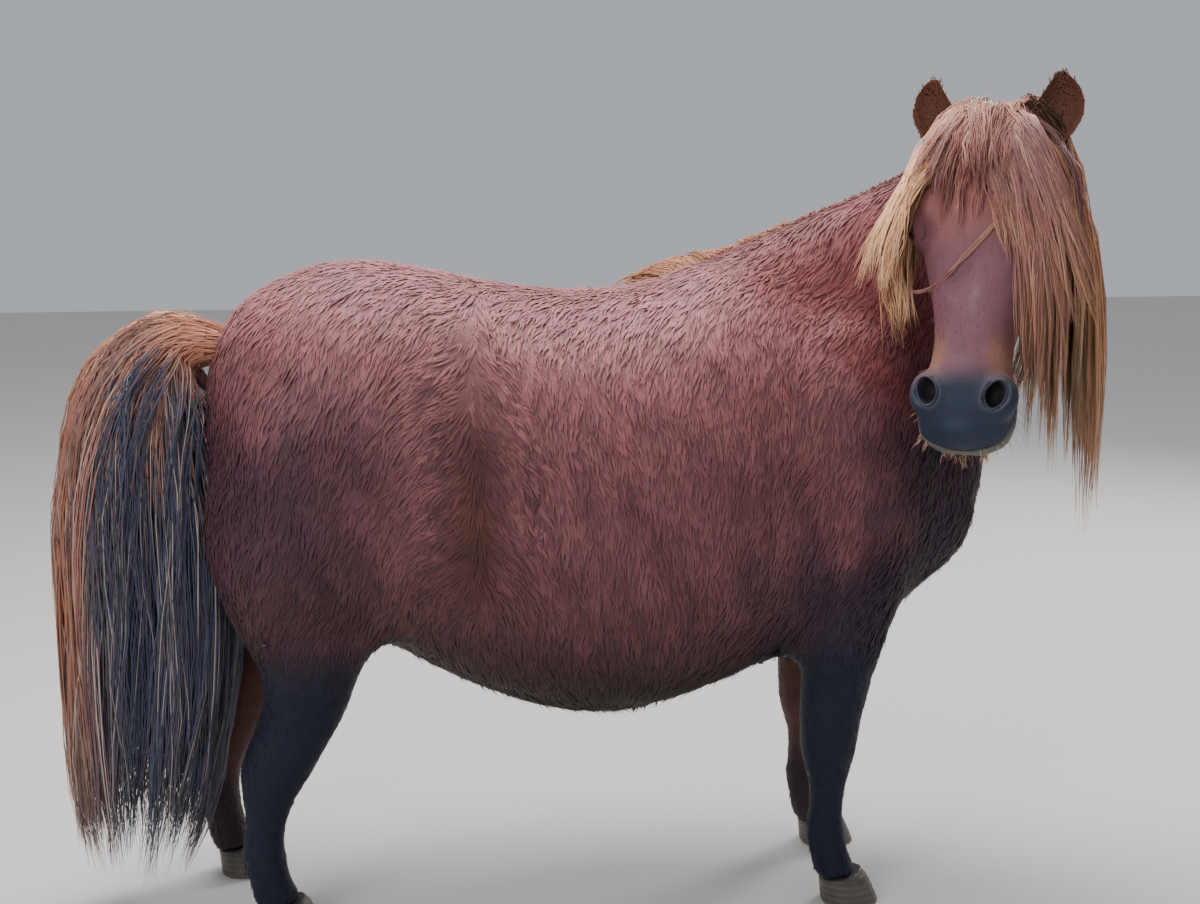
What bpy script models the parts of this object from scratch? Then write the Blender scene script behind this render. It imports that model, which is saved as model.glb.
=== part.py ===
"""A life-size Shetland pony, standing still with its head turned to its own right.

Metres, +X towards the chest, +Y towards the pony's left side, +Z up. The body is first modelled
whole, from lofts and ellipsoids that a voxel remesh melts together, and then parted with thin cuts.
"""

import math
import random

import bmesh
import bpy
import numpy as np
from mathutils import Matrix, Vector
from mathutils.bvhtree import BVHTree

# Driving dimensions of the pony.
BREAST = 0.60
SEAT = -0.60
HEAD_LENGTH = 0.47
GAP = 0.0003

# How the pony turns its head: the face looks this far past its own right side, and leans off the vertical.
FACE_TURN = math.radians(30)
FACE_LEAN = math.radians(24)
POLL = Vector((0.526, -0.215, 1.192))

X, Y, Z = Vector((1, 0, 0)), Vector((0, 1, 0)), Vector((0, 0, 1))
FACING = Vector((-math.sin(FACE_TURN), -math.cos(FACE_TURN), 0))
NOSEWARD = math.sin(FACE_LEAN) * FACING - math.cos(FACE_LEAN) * Z
BROW = math.cos(FACE_LEAN) * FACING + math.sin(FACE_LEAN) * Z
HEAD_LEFT = Z.cross(FACING)
HEAD_AXES = (NOSEWARD, HEAD_LEFT, BROW)

# How finely the melted skin is made, and what share of its faces stays.
BODY_VOXEL = 0.009
BODY_SMOOTHING = 14
BODY_SHARE = 0.041
HEAD_VOXEL = 0.005
HEAD_SMOOTHING = 5
HEAD_SHARE = 0.037
RING_POINTS = 40

# Outlines of the trunk from the side: where along the body, and how high.
TOP_LINE = ((SEAT, 0.79), (-0.57, 0.885), (-0.50, 0.952), (-0.40, 0.989), (-0.28, 0.980), (-0.16, 0.955),
            (-0.03, 0.942), (0.08, 0.955), (0.15, 0.985), (0.28, 0.970), (0.42, 0.88), (0.54, 0.78), (BREAST, 0.70))
BELLY_LINE = ((SEAT, 0.70), (-0.56, 0.54), (-0.45, 0.46), (-0.33, 0.405), (-0.20, 0.335), (-0.02, 0.287),
              (0.14, 0.317), (0.28, 0.372), (0.40, 0.40), (0.50, 0.47), (BREAST, 0.61))
GIRTH_LINE = ((SEAT, 0.04), (-0.57, 0.105), (-0.51, 0.165), (-0.43, 0.215), (-0.34, 0.247), (-0.20, 0.268),
              (-0.03, 0.285), (0.14, 0.265), (0.30, 0.222), (0.44, 0.180), (0.54, 0.125), (BREAST, 0.045))
WIDEST_LINE = ((SEAT, 0.74), (-0.40, 0.71), (-0.20, 0.62), (0.0, 0.56), (0.20, 0.58), (0.42, 0.62), (BREAST, 0.66))

# The neck, from the withers to the head: its crest above, its throat below, and half its width.
CREST = (Vector((0.10, 0, 0.955)), Vector((0.20, 0, 1.003)), Vector((0.31, -0.005, 1.048)),
         Vector((0.41, -0.025, 1.092)), Vector((0.485, -0.075, 1.138)), Vector((0.528, -0.14, 1.172)),
         Vector((0.530, -0.20, 1.180)))
THROAT = (Vector((0.44, 0, 0.46)), Vector((0.525, 0, 0.54)), Vector((0.590, 0, 0.63)), Vector((0.622, -0.010, 0.74)),
          Vector((0.632, -0.040, 0.85)), Vector((0.610, -0.090, 0.93)), Vector((0.566, -0.16, 0.97)))
NECK_WIDTH = (0.135, 0.140, 0.133, 0.118, 0.103, 0.092, 0.082)

# The head, in its own frame: along from poll to lips, then how far out towards the brow, or to the side.
BROW_LINE = ((-0.02, -0.035), (0.02, -0.008), (0.09, 0.008), (0.16, 0.004), (0.24, -0.008), (0.33, -0.014),
             (0.40, -0.012), (0.445, -0.030), (HEAD_LENGTH, -0.058))
JAW_LINE = ((-0.02, -0.13), (0.03, -0.165), (0.09, -0.195), (0.15, -0.192), (0.22, -0.160), (0.30, -0.132),
            (0.37, -0.122), (0.42, -0.126), (0.455, -0.114), (HEAD_LENGTH, -0.088))
FACE_WIDTH = ((-0.02, 0.052), (0.03, 0.076), (0.09, 0.091), (0.15, 0.094), (0.22, 0.077), (0.29, 0.059),
              (0.35, 0.057), (0.40, 0.069), (0.445, 0.061), (HEAD_LENGTH, 0.033))
FACE_WIDEST = ((-0.02, -0.075), (0.09, -0.055), (0.15, -0.045), (0.24, -0.055), (0.36, -0.062),
               (HEAD_LENGTH, -0.072))

# Legs: height, how far forward, reach to the front and back, half width, and how far out from the middle.
FORE_LEG = ((0.64, 0.350, 0.120, 0.120, 0.075, 0.145), (0.52, 0.352, 0.098, 0.098, 0.078, 0.148),
            (0.44, 0.355, 0.073, 0.072, 0.063, 0.145), (0.36, 0.345, 0.059, 0.060, 0.051, 0.138),
            (0.29, 0.338, 0.049, 0.050, 0.045, 0.134), (0.245, 0.336, 0.046, 0.047, 0.045, 0.132),
            (0.20, 0.337, 0.033, 0.035, 0.034, 0.130), (0.155, 0.336, 0.028, 0.031, 0.029, 0.128),
            (0.115, 0.335, 0.032, 0.038, 0.034, 0.127), (0.085, 0.341, 0.032, 0.034, 0.033, 0.127),
            (0.055, 0.350, 0.034, 0.034, 0.035, 0.127), (0.030, 0.357, 0.034, 0.034, 0.036, 0.127))
HIND_LEG = ((0.66, -0.430, 0.140, 0.145, 0.088, 0.125), (0.55, -0.450, 0.125, 0.138, 0.095, 0.135),
            (0.47, -0.452, 0.100, 0.118, 0.082, 0.138), (0.41, -0.452, 0.079, 0.081, 0.066, 0.136),
            (0.34, -0.468, 0.068, 0.067, 0.054, 0.132), (0.29, -0.490, 0.060, 0.064, 0.047, 0.130),
            (0.25, -0.505, 0.054, 0.064, 0.044, 0.128), (0.205, -0.520, 0.040, 0.044, 0.038, 0.126),
            (0.16, -0.528, 0.031, 0.033, 0.031, 0.125), (0.12, -0.532, 0.035, 0.040, 0.036, 0.125),
            (0.09, -0.526, 0.034, 0.036, 0.034, 0.125), (0.058, -0.516, 0.036, 0.035, 0.036, 0.125),
            (0.030, -0.508, 0.036, 0.035, 0.037, 0.125))
# The far legs stand a little apart from the near ones: forward shift of each leg.
LEG_STEP = {"fore_right": -0.006, "fore_left": 0.022, "hind_right": 0.012, "hind_left": -0.062}

# Hooves: the coronet's height, and the reach forward, back and to the sides at the ground and at the coronet.
CORONET = 0.050
HOOF_GROUND = (0.052, 0.036, 0.043)
HOOF_TOP = (0.035, 0.032, 0.035)
HOOF_FORWARD = 0.010

# Eyes and ears, in the head's frame.
EYE_RADIUS = 0.0185
EYE_SIDES = 16
EYE_PLACE = (0.158, 0.0835, -0.034)
EAR_LENGTH = 0.116
EAR_ROOT = (0.030, 0.066, -0.038)
EAR_SHELL = 0.005

# Nostrils: the place of their middle in the head's frame, and their half length, half width and depth.
NOSTRIL_PLACE = (0.401, 0.0500, -0.012)
NOSTRIL_RADII = (0.0220, 0.0155, 0.024)

# Mane and tail: the count of locks, and the tail's middle line with its half widths and half depths.
MANE_LOCKS = 27
TAIL_LINE = (Vector((-0.555, 0, 0.865)), Vector((-0.632, 0, 0.872)), Vector((-0.682, 0, 0.800)),
             Vector((-0.700, 0, 0.670)), Vector((-0.703, 0, 0.520)), Vector((-0.704, 0, 0.380)),
             Vector((-0.710, 0, 0.230)), Vector((-0.716, 0, 0.120)), Vector((-0.718, 0, 0.025)))
TAIL_WIDTH = ((0.0, 0.028), (0.15, 0.050), (0.35, 0.088), (0.60, 0.100), (0.80, 0.092), (0.93, 0.075), (1.0, 0.060))
TAIL_DEPTH = ((0.0, 0.025), (0.15, 0.050), (0.35, 0.098), (0.60, 0.108), (0.80, 0.094), (0.93, 0.075), (1.0, 0.055))
# Tiers of tail locks: how many, their turn, where they start and end along the tail, and how far out they hang.
TAIL_TIERS = ((11, 0.0, 0.10, 0.98, 0.90), (8, 0.5, 0.16, 0.90, 0.70), (6, 0.25, 0.05, 0.62, 0.98))


def clear_scene():
    for obj in list(bpy.data.objects):
        bpy.data.objects.remove(obj)


def smooth_through(points, at):
    """The height at a place on a smooth curve through (place, height) points."""
    places = [p[0] for p in points]
    heights = [p[1] for p in points]
    slopes = np.gradient(heights, places)
    i = min(max(int(np.searchsorted(places, at)) - 1, 0), len(points) - 2)
    span = places[i + 1] - places[i]
    t = min(max((at - places[i]) / span, 0.0), 1.0)
    rise = heights[i + 1] - heights[i]
    start = slopes[i] * span - rise
    end = rise - slopes[i + 1] * span
    return float(heights[i] + t * rise + t * (1 - t) * (start * (1 - t) + end * t))


def smooth_path(points, share):
    """A point on a smooth path through points, where share runs from 0 to 1."""
    places = [i / (len(points) - 1) for i in range(len(points))]
    return Vector([smooth_through(list(zip(places, [p[k] for p in points])), share) for k in range(3)])


def ring(centre, side, up, half_width, above, below, fullness=2.0, count=RING_POINTS):
    """A closed section round centre. Fullness 2 is an ellipse, and more is squarer."""
    points = []
    for i in range(count):
        angle = 2 * math.pi * i / count
        c, s = math.cos(angle), math.sin(angle)
        across = half_width * math.copysign(abs(c) ** (2 / fullness), c)
        reach = above if s > 0 else below
        points.append(centre + side * across + up * reach * math.copysign(abs(s) ** (2 / fullness), s))
    return points


def loft(name, rings):
    """A closed mesh object through sections that have the same number of points."""
    bm = bmesh.new()
    rows = [[bm.verts.new(p) for p in points] for points in rings]
    count = len(rows[0])
    for low, high in zip(rows, rows[1:]):
        for i in range(count):
            j = (i + 1) % count
            bm.faces.new((low[i], low[j], high[j], high[i]))
    bm.faces.new(reversed(rows[0]))
    bm.faces.new(rows[-1])
    return object_from(name, bm)


def object_from(name, bm):
    bmesh.ops.recalc_face_normals(bm, faces=bm.faces)
    if bm.calc_volume(signed=True) < 0:
        bmesh.ops.reverse_faces(bm, faces=bm.faces)
    mesh = bpy.data.meshes.new(name)
    bm.to_mesh(mesh)
    bm.free()
    obj = bpy.data.objects.new(name, mesh)
    bpy.context.scene.collection.objects.link(obj)
    return obj


def ellipsoid(name, centre, axes, radii, segments=24):
    """A ball stretched along three axes that stand square to each other."""
    bm = bmesh.new()
    bmesh.ops.create_uvsphere(bm, u_segments=segments, v_segments=segments // 2, radius=1)
    turn = Matrix([[axes[k][i] * radii[k] for k in range(3)] for i in range(3)]).to_4x4()
    bm.transform(Matrix.Translation(centre) @ turn)
    return object_from(name, bm)


def head_point(along, left, out):
    """A place in the head's own frame as a place in the scene."""
    return POLL + along * NOSEWARD + left * HEAD_LEFT + out * BROW


def trunk():
    rings = []
    steps = 44
    for i in range(steps + 1):
        x = SEAT + (BREAST - SEAT) * (1 - math.cos(math.pi * i / steps)) / 2
        middle = smooth_through(WIDEST_LINE, x)
        rings.append(ring(Vector((x, 0, middle)), Y, Z, smooth_through(GIRTH_LINE, x),
                          smooth_through(TOP_LINE, x) - middle, middle - smooth_through(BELLY_LINE, x), 2.15))
    return loft("trunk", rings)


def neck():
    rings = []
    steps = 22
    places = [i / (len(NECK_WIDTH) - 1) for i in range(len(NECK_WIDTH))]
    for i in range(steps + 1):
        share = i / steps
        crest, throat = smooth_path(CREST, share), smooth_path(THROAT, share)
        up = (crest - throat).normalized()
        ahead = (smooth_path(CREST, min(share + 0.05, 1)) + smooth_path(THROAT, min(share + 0.05, 1))
                 - smooth_path(CREST, max(share - 0.05, 0)) - smooth_path(THROAT, max(share - 0.05, 0)))
        side = up.cross(ahead).normalized()
        half = (crest - throat).length / 2
        width = smooth_through(list(zip(places, NECK_WIDTH)), share)
        rings.append(ring((crest + throat) / 2 - up * 0.02, side, up, width, half + 0.02, half - 0.02, 1.9))
    return loft("neck", rings)


def skull():
    rings = []
    steps = 30
    for i in range(steps + 1):
        along = -0.02 + (HEAD_LENGTH + 0.02) * i / steps
        middle = smooth_through(FACE_WIDEST, along)
        rings.append(ring(head_point(along, 0, middle), HEAD_LEFT, BROW, smooth_through(FACE_WIDTH, along),
                          smooth_through(BROW_LINE, along) - middle, middle - smooth_through(JAW_LINE, along), 2.25))
    return loft("skull", rings)


def head_forms():
    """The masses that round out the head: cheeks, eye sockets' rims, nostril wings, lips and chin."""
    shapes = {
        "cheek": ((0.115, 0.038, -0.118), (0.090, 0.046, 0.076)),
        "brow": ((0.130, 0.070, -0.022), (0.038, 0.026, 0.027)),
        "lids": ((EYE_PLACE[0], EYE_PLACE[1] - 0.001, EYE_PLACE[2]), (0.031, 0.0235, 0.024)),
        "cheekbone": ((0.195, 0.060, -0.058), (0.056, 0.019, 0.018)),
        "nostril_wing": ((0.400, 0.047, -0.033), (0.036, 0.030, 0.028)),
        "lip": ((0.436, 0.031, -0.068), (0.030, 0.035, 0.036)),
        "upper_lip": ((0.444, 0.0, -0.058), (0.026, 0.045, 0.035)),
        "chin": ((0.434, 0.0, -0.108), (0.033, 0.038, 0.023)),
    }
    forms = []
    for name, ((along, left, out), radii) in shapes.items():
        for side in (1, -1) if left else (1,):
            forms.append(ellipsoid(name, head_point(along, side * left, out), HEAD_AXES, radii))
    return forms


def muscles():
    """Haunch, stifle, shoulder and breast, on both sides."""
    shapes = {
        "haunch": ((-0.405, 0.110, 0.670), (0.165, 0.124, 0.235)),
        "buttock": ((-0.480, 0.085, 0.600), (0.125, 0.095, 0.170)),
        "stifle": ((-0.372, 0.138, 0.545), (0.080, 0.072, 0.125)),
        "shoulder": ((0.345, 0.112, 0.665), (0.165, 0.106, 0.250)),
        "breast": ((0.485, 0.055, 0.615), (0.095, 0.092, 0.130)),
    }
    return [ellipsoid(name, Vector((ahead, side * out, height)), (X, Y, Z), radii)
            for name, ((ahead, out, height), radii) in shapes.items() for side in (1, -1)]


def leg(name, stations, side, step):
    rings = []
    rows = len(stations)
    heights = [s[0] for s in stations]
    fine = 3 * (rows - 1)
    for i in range(fine + 1):
        share = i / fine
        places = [k / (rows - 1) for k in range(rows)]
        height, ahead, front, back, width, out = (
            smooth_through(list(zip(places, [s[k] for s in stations])), share) for k in range(6))
        shift = step * min(1.0, (heights[0] - height) / 0.30)
        rings.append(ring(Vector((ahead + shift, side * out, height)), Y, X, width, front, back, 2.1, 28))
    return loft(name, rings)


def joined(name, parts):
    for part in parts:
        part.select_set(True)
    bpy.context.view_layer.objects.active = parts[0]
    bpy.ops.object.join()
    whole = bpy.context.view_layer.objects.active
    whole.name = name
    whole.select_set(False)
    return whole


def melt(obj, voxel, rounds, ratio):
    """Melts overlapping closed shapes into one skin, smooths it and thins its faces."""
    remesh = obj.modifiers.new("melt", "REMESH")
    remesh.mode = "VOXEL"
    remesh.voxel_size = voxel
    smooth = obj.modifiers.new("smooth", "SMOOTH")
    smooth.factor = 0.5
    smooth.iterations = rounds
    thin = obj.modifiers.new("thin", "DECIMATE")
    thin.ratio = ratio
    bake(obj)


def cut(obj, tool, operation, solver="MANIFOLD"):
    """Applies one Boolean, removes its tool and keeps the largest closed surface."""
    boolean = obj.modifiers.new("cut", "BOOLEAN")
    boolean.operation = operation
    boolean.solver = solver
    boolean.object = tool
    bake(obj)
    bpy.data.objects.remove(tool)
    keep_largest(obj)


def copy_of(obj, name):
    twin = obj.copy()
    twin.data = obj.data.copy()
    twin.name = name
    bpy.context.scene.collection.objects.link(twin)
    return twin


def bake(obj):
    """Replaces the object's mesh by what its modifiers make."""
    graph = bpy.context.evaluated_depsgraph_get()
    mesh = bpy.data.meshes.new_from_object(obj.evaluated_get(graph))
    obj.modifiers.clear()
    obj.data = mesh


def keep_largest(obj):
    """Drops every closed surface of the object but the one with the largest volume."""
    bm = bmesh.new()
    bm.from_mesh(obj.data)
    bm.verts.ensure_lookup_table()
    island_of = {}
    islands = []
    for start in bm.verts:
        if start.index in island_of:
            continue
        island, queue = [], [start]
        island_of[start.index] = len(islands)
        while queue:
            vert = queue.pop()
            island.append(vert)
            for edge in vert.link_edges:
                other = edge.other_vert(vert)
                if other.index not in island_of:
                    island_of[other.index] = len(islands)
                    queue.append(other)
        islands.append(island)
    if len(islands) > 1:
        volumes = [0.0] * len(islands)
        for face in bm.faces:
            corners = [v.co for v in face.verts]
            for k in range(1, len(corners) - 1):
                share = corners[0].dot(corners[k].cross(corners[k + 1])) / 6
                volumes[island_of[face.verts[0].index]] += share
        best = volumes.index(max(volumes))
        dropped = [v for n, island in enumerate(islands) if n != best for v in island]
        bmesh.ops.delete(bm, geom=dropped, context="VERTS")
    bm.to_mesh(obj.data)
    bm.free()


def swollen(obj, gap):
    """A copy of the object whose surface stands out by the gap."""
    twin = copy_of(obj, obj.name + "_swollen")
    bm = bmesh.new()
    bm.from_mesh(twin.data)
    bm.normal_update()
    places = [v.co + v.normal * gap * max(1.0, v.calc_shell_factor()) for v in bm.verts]
    for vert, place in zip(bm.verts, places):
        vert.co = place
    bm.to_mesh(twin.data)
    bm.free()
    return twin


def clear_of(obj, neighbours):
    """Cuts the object back so that it stays a thin gap away from its neighbours."""
    for neighbour in neighbours:
        cut(obj, swollen(neighbour, GAP), "DIFFERENCE")


def fused(name, pieces):
    """One closed body from closed pieces that overlap."""
    group = bpy.data.collections.new(name + "_pieces")
    whole = pieces[0]
    for piece in pieces[1:]:
        group.objects.link(piece)
    union = whole.modifiers.new("fuse", "BOOLEAN")
    union.operation = "UNION"
    union.operand_type = "COLLECTION"
    union.collection = group
    union.solver = "MANIFOLD"
    bake(whole)
    for piece in pieces[1:]:
        bpy.data.objects.remove(piece)
    bpy.data.collections.remove(group)
    whole.name = name
    keep_largest(whole)
    return whole


def whole_pony(voxel, rounds, share):
    legs = [leg("leg_" + name, FORE_LEG if "fore" in name else HIND_LEG, 1 if "left" in name else -1, step)
            for name, step in LEG_STEP.items()]
    pony = joined("pony", [trunk(), neck(), skull(), *head_forms(), *muscles(), *legs])
    melt(pony, voxel, rounds, share)
    return pony


def prism(name, corners, place, axis, near, far):
    """A closed block: corners in a plane, each turned to a point by place, run along axis from near to far."""
    return loft(name, [[place(*corner) + axis * at for corner in corners] for at in (near, far)])


def head_block(grow=0.0):
    """The region of the head: a roomy case round the skull, up to a plane from behind the poll to the throat."""
    rings = []
    for i in range(17):
        along = -0.14 + (HEAD_LENGTH + 0.18) * i / 16
        middle = smooth_through(FACE_WIDEST, along)
        room = 0.028 + grow
        rings.append(ring(head_point(along, 0, middle), HEAD_LEFT, BROW, smooth_through(FACE_WIDTH, along) + room,
                          smooth_through(BROW_LINE, along) - middle + 0.02 + room,
                          middle - smooth_through(JAW_LINE, along) + room, 3.0, 24))
    case = loft("head_case", rings)
    poll_end, throat_end = Vector((-0.115, 0.14)), Vector((0.110, -0.260))
    away = Vector((-(throat_end - poll_end).y, (throat_end - poll_end).x)).normalized() * grow
    corners = [poll_end - away, throat_end - away, Vector((0.60, -0.260)), Vector((0.60, 0.14))]
    cut(case, prism("before_poll", corners, lambda along, out: head_point(along, 0, out), HEAD_LEFT, -0.2, 0.2),
        "INTERSECT")
    return case


def neck_block(grow=0.0):
    """The region of the neck: all that lies above a plane from the withers to the breast."""
    withers, breast = Vector((0.04, 1.10)), Vector((0.80, 0.485))
    away = Vector(((breast - withers).y, -(breast - withers).x)).normalized() * grow
    corners = [withers + away, breast + away, (0.95, 1.5), (0.04, 1.5)]
    return prism("neck_block", corners, lambda ahead, height: Vector((ahead, 0, height)), Y, -0.6, 0.6)


def leg_block(name, grow=0.0):
    """The region of one leg: all below a plane that slopes up from the middle of the belly to the outside."""
    side = 1 if "left" in name else -1
    back, front = (0.235, 0.475) if "fore" in name else (-0.70, -0.335)
    inner, outer = (0.350, 0.50) if "fore" in name else (0.400, 0.53)
    corners = [(0.02 - grow, -0.1), (0.02 - grow, inner + grow), (0.36, outer + grow), (0.36, -0.1)]
    return prism(name + "_block", corners, lambda out, height: Vector((0, side * out, height)), X,
                 back - grow, front + grow)


def hoof_place(name):
    stations = FORE_LEG if "fore" in name else HIND_LEG
    side = 1 if "left" in name else -1
    return Vector((stations[-1][1] + LEG_STEP[name] + HOOF_FORWARD, side * stations[-1][5], 0))


def hoof_block(name, grow=0.0):
    """All that lies below the coronet, which slopes down to the heel."""
    place = hoof_place(name)
    corners = [(-0.12, -0.02), (-0.12, CORONET - 0.029 + grow), (0.12, CORONET + 0.023 + grow), (0.12, -0.02)]
    return prism(name + "_below", corners, lambda ahead, height: place + Vector((ahead, 0, height)), Y, -0.09, 0.09)


def hoof(name):
    place = hoof_place(name)
    rings = []
    for height, share in ((0.0, 0.0), (0.006, 0.06), (0.03, 0.45), (0.05, 0.85), (0.07, 1.15)):
        front, back, width = ((1 - share) * low + share * high for low, high in zip(HOOF_GROUND, HOOF_TOP))
        centre = place - X * HOOF_FORWARD * share + Z * height
        rings.append(ring(centre, Y, X, width, front, back, 2.2, 20))
    body = loft("hoof_" + name, rings)
    cut(body, hoof_block(name), "INTERSECT")
    return body


def eye_frame(side):
    """The eye's middle, where it looks, and its long and short axes."""
    along, left, out = EYE_PLACE
    look = (side * 0.90 * HEAD_LEFT + 0.40 * BROW + 0.05 * NOSEWARD).normalized()
    length = (NOSEWARD - look * NOSEWARD.dot(look)).normalized()
    return head_point(along, side * left, out), look, length, look.cross(length)


def eye(side):
    middle, look, length, height = eye_frame(side)
    return ellipsoid("eye_left" if side > 0 else "eye_right", middle, (length, height, look), (EYE_RADIUS,) * 3, EYE_SIDES)


def carve_eyes(head):
    """Sockets with an almond opening between the lids."""
    for side in (1, -1):
        middle, look, length, height = eye_frame(side)
        rings = []
        for depth, size in ((0.004, 0.9), (0.020, 1.0), (0.060, 1.6)):
            points = []
            for i in range(16):
                angle = 2 * math.pi * i / 16
                reach = math.sin(angle) * (0.55 + 0.45 * abs(math.sin(angle)))
                points.append(middle + look * depth + length * 0.0178 * size * math.cos(angle)
                              + height * 0.0115 * size * reach)
            rings.append(points)
        cut(head, loft("opening", rings), "DIFFERENCE")
        cut(head, ellipsoid("socket", middle, (length, height, look), (EYE_RADIUS + GAP,) * 3, EYE_SIDES), "DIFFERENCE")


def carve_nostrils(head):
    for side in (1, -1):
        inward = (side * -0.55 * HEAD_LEFT - 0.80 * BROW - 0.15 * NOSEWARD).normalized()
        long_way = NOSEWARD - side * 0.30 * HEAD_LEFT
        long_way = (long_way - inward * long_way.dot(inward)).normalized()
        middle = head_point(NOSTRIL_PLACE[0], side * NOSTRIL_PLACE[1], NOSTRIL_PLACE[2])
        axes = (long_way, long_way.cross(inward), inward)
        cut(head, ellipsoid("nostril", middle, axes, NOSTRIL_RADII, 16), "DIFFERENCE")


def carve_mouth(head):
    """A thin cut round the front of the muzzle, between the upper lip and the lower."""
    skin = tree_of(head)
    outer, inner = [], []
    middle = head_point(0.385, 0, -0.095)
    for i in range(13):
        angle = math.pi * (i / 12 - 0.5)
        way = math.cos(angle) * NOSEWARD + math.sin(angle) * HEAD_LEFT
        hit = skin.ray_cast(middle + way * 0.2, -way)[0]
        reach = (hit - middle).length
        outer.append(middle + way * (reach + 0.02))
        inner.append(middle + way * (reach - 0.007))
    edge = outer + inner[::-1]
    cut(head, loft("mouth", [[p + BROW * at for p in edge] for at in (-0.0012, 0.0012)]), "DIFFERENCE")


def tree_of(obj):
    bm = bmesh.new()
    bm.from_mesh(obj.data)
    bm.normal_update()
    tree = BVHTree.FromBMesh(bm)
    bm.free()
    return tree


def ear(side):
    """A pointed cup: crescent sections up from the root, open towards the face's own front."""
    root = head_point(EAR_ROOT[0], side * EAR_ROOT[1], EAR_ROOT[2])
    rings = []
    for share, width, cup, lean in ((-0.10, 0.015, 1.5, -0.10), (0.08, 0.022, 1.5, 0.02), (0.25, 0.0300, 1.4, 0.10),
                                    (0.42, 0.0330, 1.3, 0.16), (0.60, 0.0305, 1.3, 0.20), (0.78, 0.0220, 1.35, 0.22),
                                    (0.91, 0.0130, 1.4, 0.21), (1.0, 0.0055, 1.4, 0.19)):
        centre = root + Z * EAR_LENGTH * share + HEAD_LEFT * side * lean * EAR_LENGTH - FACING * 0.006
        front = (FACING + side * 0.35 * HEAD_LEFT).normalized()
        across = Z.cross(front)
        shell = min(EAR_SHELL, 0.5 * width)
        outer = [centre + width * (across * math.sin(a) - front * (math.cos(a) - 0.2))
                 for a in (cup * (2 * i / 6 - 1) for i in range(7))]
        inner = [centre + (width - shell) * (across * math.sin(a) - front * (math.cos(a) - 0.2))
                 for a in (0.94 * cup * (2 * i / 6 - 1) for i in range(6, -1, -1))]
        rings.append(outer + inner)
    return loft("ear_left" if side > 0 else "ear_right", rings)


def combed(skin, root, heading, length, lift, weight=0.5, steps=7):
    """A lock's path: it leaves its root, falls, and is held off the skin by the hair that lies under it."""
    path, outs = [root], []
    direction = heading.normalized()
    for i in range(1, steps + 1):
        direction = (direction * (1 - weight) - Z * weight).normalized()
        place = path[-1] + direction * length / steps
        near, normal, _, distance = skin.find_nearest(place)
        height = (place - near).dot(normal)
        wanted = lift * min(1.0, i / 3)
        if height < wanted:
            place += normal * (wanted - height)
        direction = (place - path[-1]).normalized()
        path.append(path[-1] + direction * length / steps)
        outs.append(normal if distance < 0.12 or not outs else outs[-1])
    return path, [outs[0]] + outs


def lock(name, path, outs, width, depth):
    """A flat lock that swells a little from its root and tapers to its tip."""
    rings = []
    last = len(path) - 1
    for i, place in enumerate(path):
        along = (path[min(i + 1, last)] - path[max(i - 1, 0)]).normalized()
        across = along.cross(outs[i]).normalized()
        out = across.cross(along)
        share = i / last
        size = (0.62 + 0.9 * share) if share < 0.4 else 0.98 * ((1 - share) / 0.6) ** 0.75 + 0.03
        rings.append([place + across * width * size, place + out * depth * size,
                      place - across * width * size, place - out * depth * size])
    return loft(name, rings)


def crest_point(share, left=0.0):
    """A place on the crest, and how the neck runs and which way is its left there."""
    place = smooth_path(CREST, share)
    ahead = (smooth_path(CREST, min(share + 0.05, 1)) - smooth_path(CREST, max(share - 0.05, 0))).normalized()
    leftward = Z.cross(ahead).normalized()
    return place + leftward * left, ahead, leftward


def mane_length(share):
    return smooth_through(((0.0, 0.17), (0.3, 0.26), (0.55, 0.48), (0.75, 0.66), (0.9, 0.74), (1.0, 0.76)), share)


def mane_core(skin):
    """The dense hair that joins the locks: a band down the left of the crest, far shorter than they are."""
    rings = []
    for i in range(11):
        share = 0.02 + 0.95 * i / 10
        place, ahead, leftward = crest_point(share)
        path, outs = combed(skin, place - Z * 0.010, leftward + Z * 0.8, 0.045 + 0.08 * mane_length(share), 0.003, 0.5, 3)
        outer = [p + out * 0.017 * (1 - 0.5 * k / 3) for k, (p, out) in enumerate(zip(path, outs))]
        inner = [p - out * 0.008 for p, out in zip(path, outs)][::-1]
        rings.append(outer + inner)
    return loft("core", rings)


def mane(skin, draw):
    """Locks along the crest that fall on the left side, long near the head and short near the withers."""
    pieces = [mane_core(skin)]
    for i in range(MANE_LOCKS):
        share = 0.01 + 0.965 * (i + 0.5) / MANE_LOCKS + draw.uniform(-0.008, 0.008)
        share = share ** 0.85
        place, ahead, leftward = crest_point(share)
        layer = (i % 3) / 2
        lift = 0.012 + 0.010 * layer + (0.068 * layer + 0.022) * max(0.0, (share - 0.5) / 0.5) ** 1.2
        length = mane_length(share) * (0.80 + 0.12 * layer + draw.uniform(-0.04, 0.08))
        heading = leftward + Z * (0.8 + 0.5 * layer) + ahead * draw.uniform(-0.10, 0.25)
        steps = 5 if length < 0.40 else 6
        path, outs = combed(skin, place - Z * 0.008, heading, length, lift, 0.5, steps)
        width = 0.020 + 0.012 * min(1.0, length / 0.5) + draw.uniform(-0.002, 0.003)
        pieces.append(lock("lock", waved(path, outs, 0.10 * width, draw.uniform(0, 6.28)), outs, width, 0.0075))
    return fused("mane", pieces)


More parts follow.
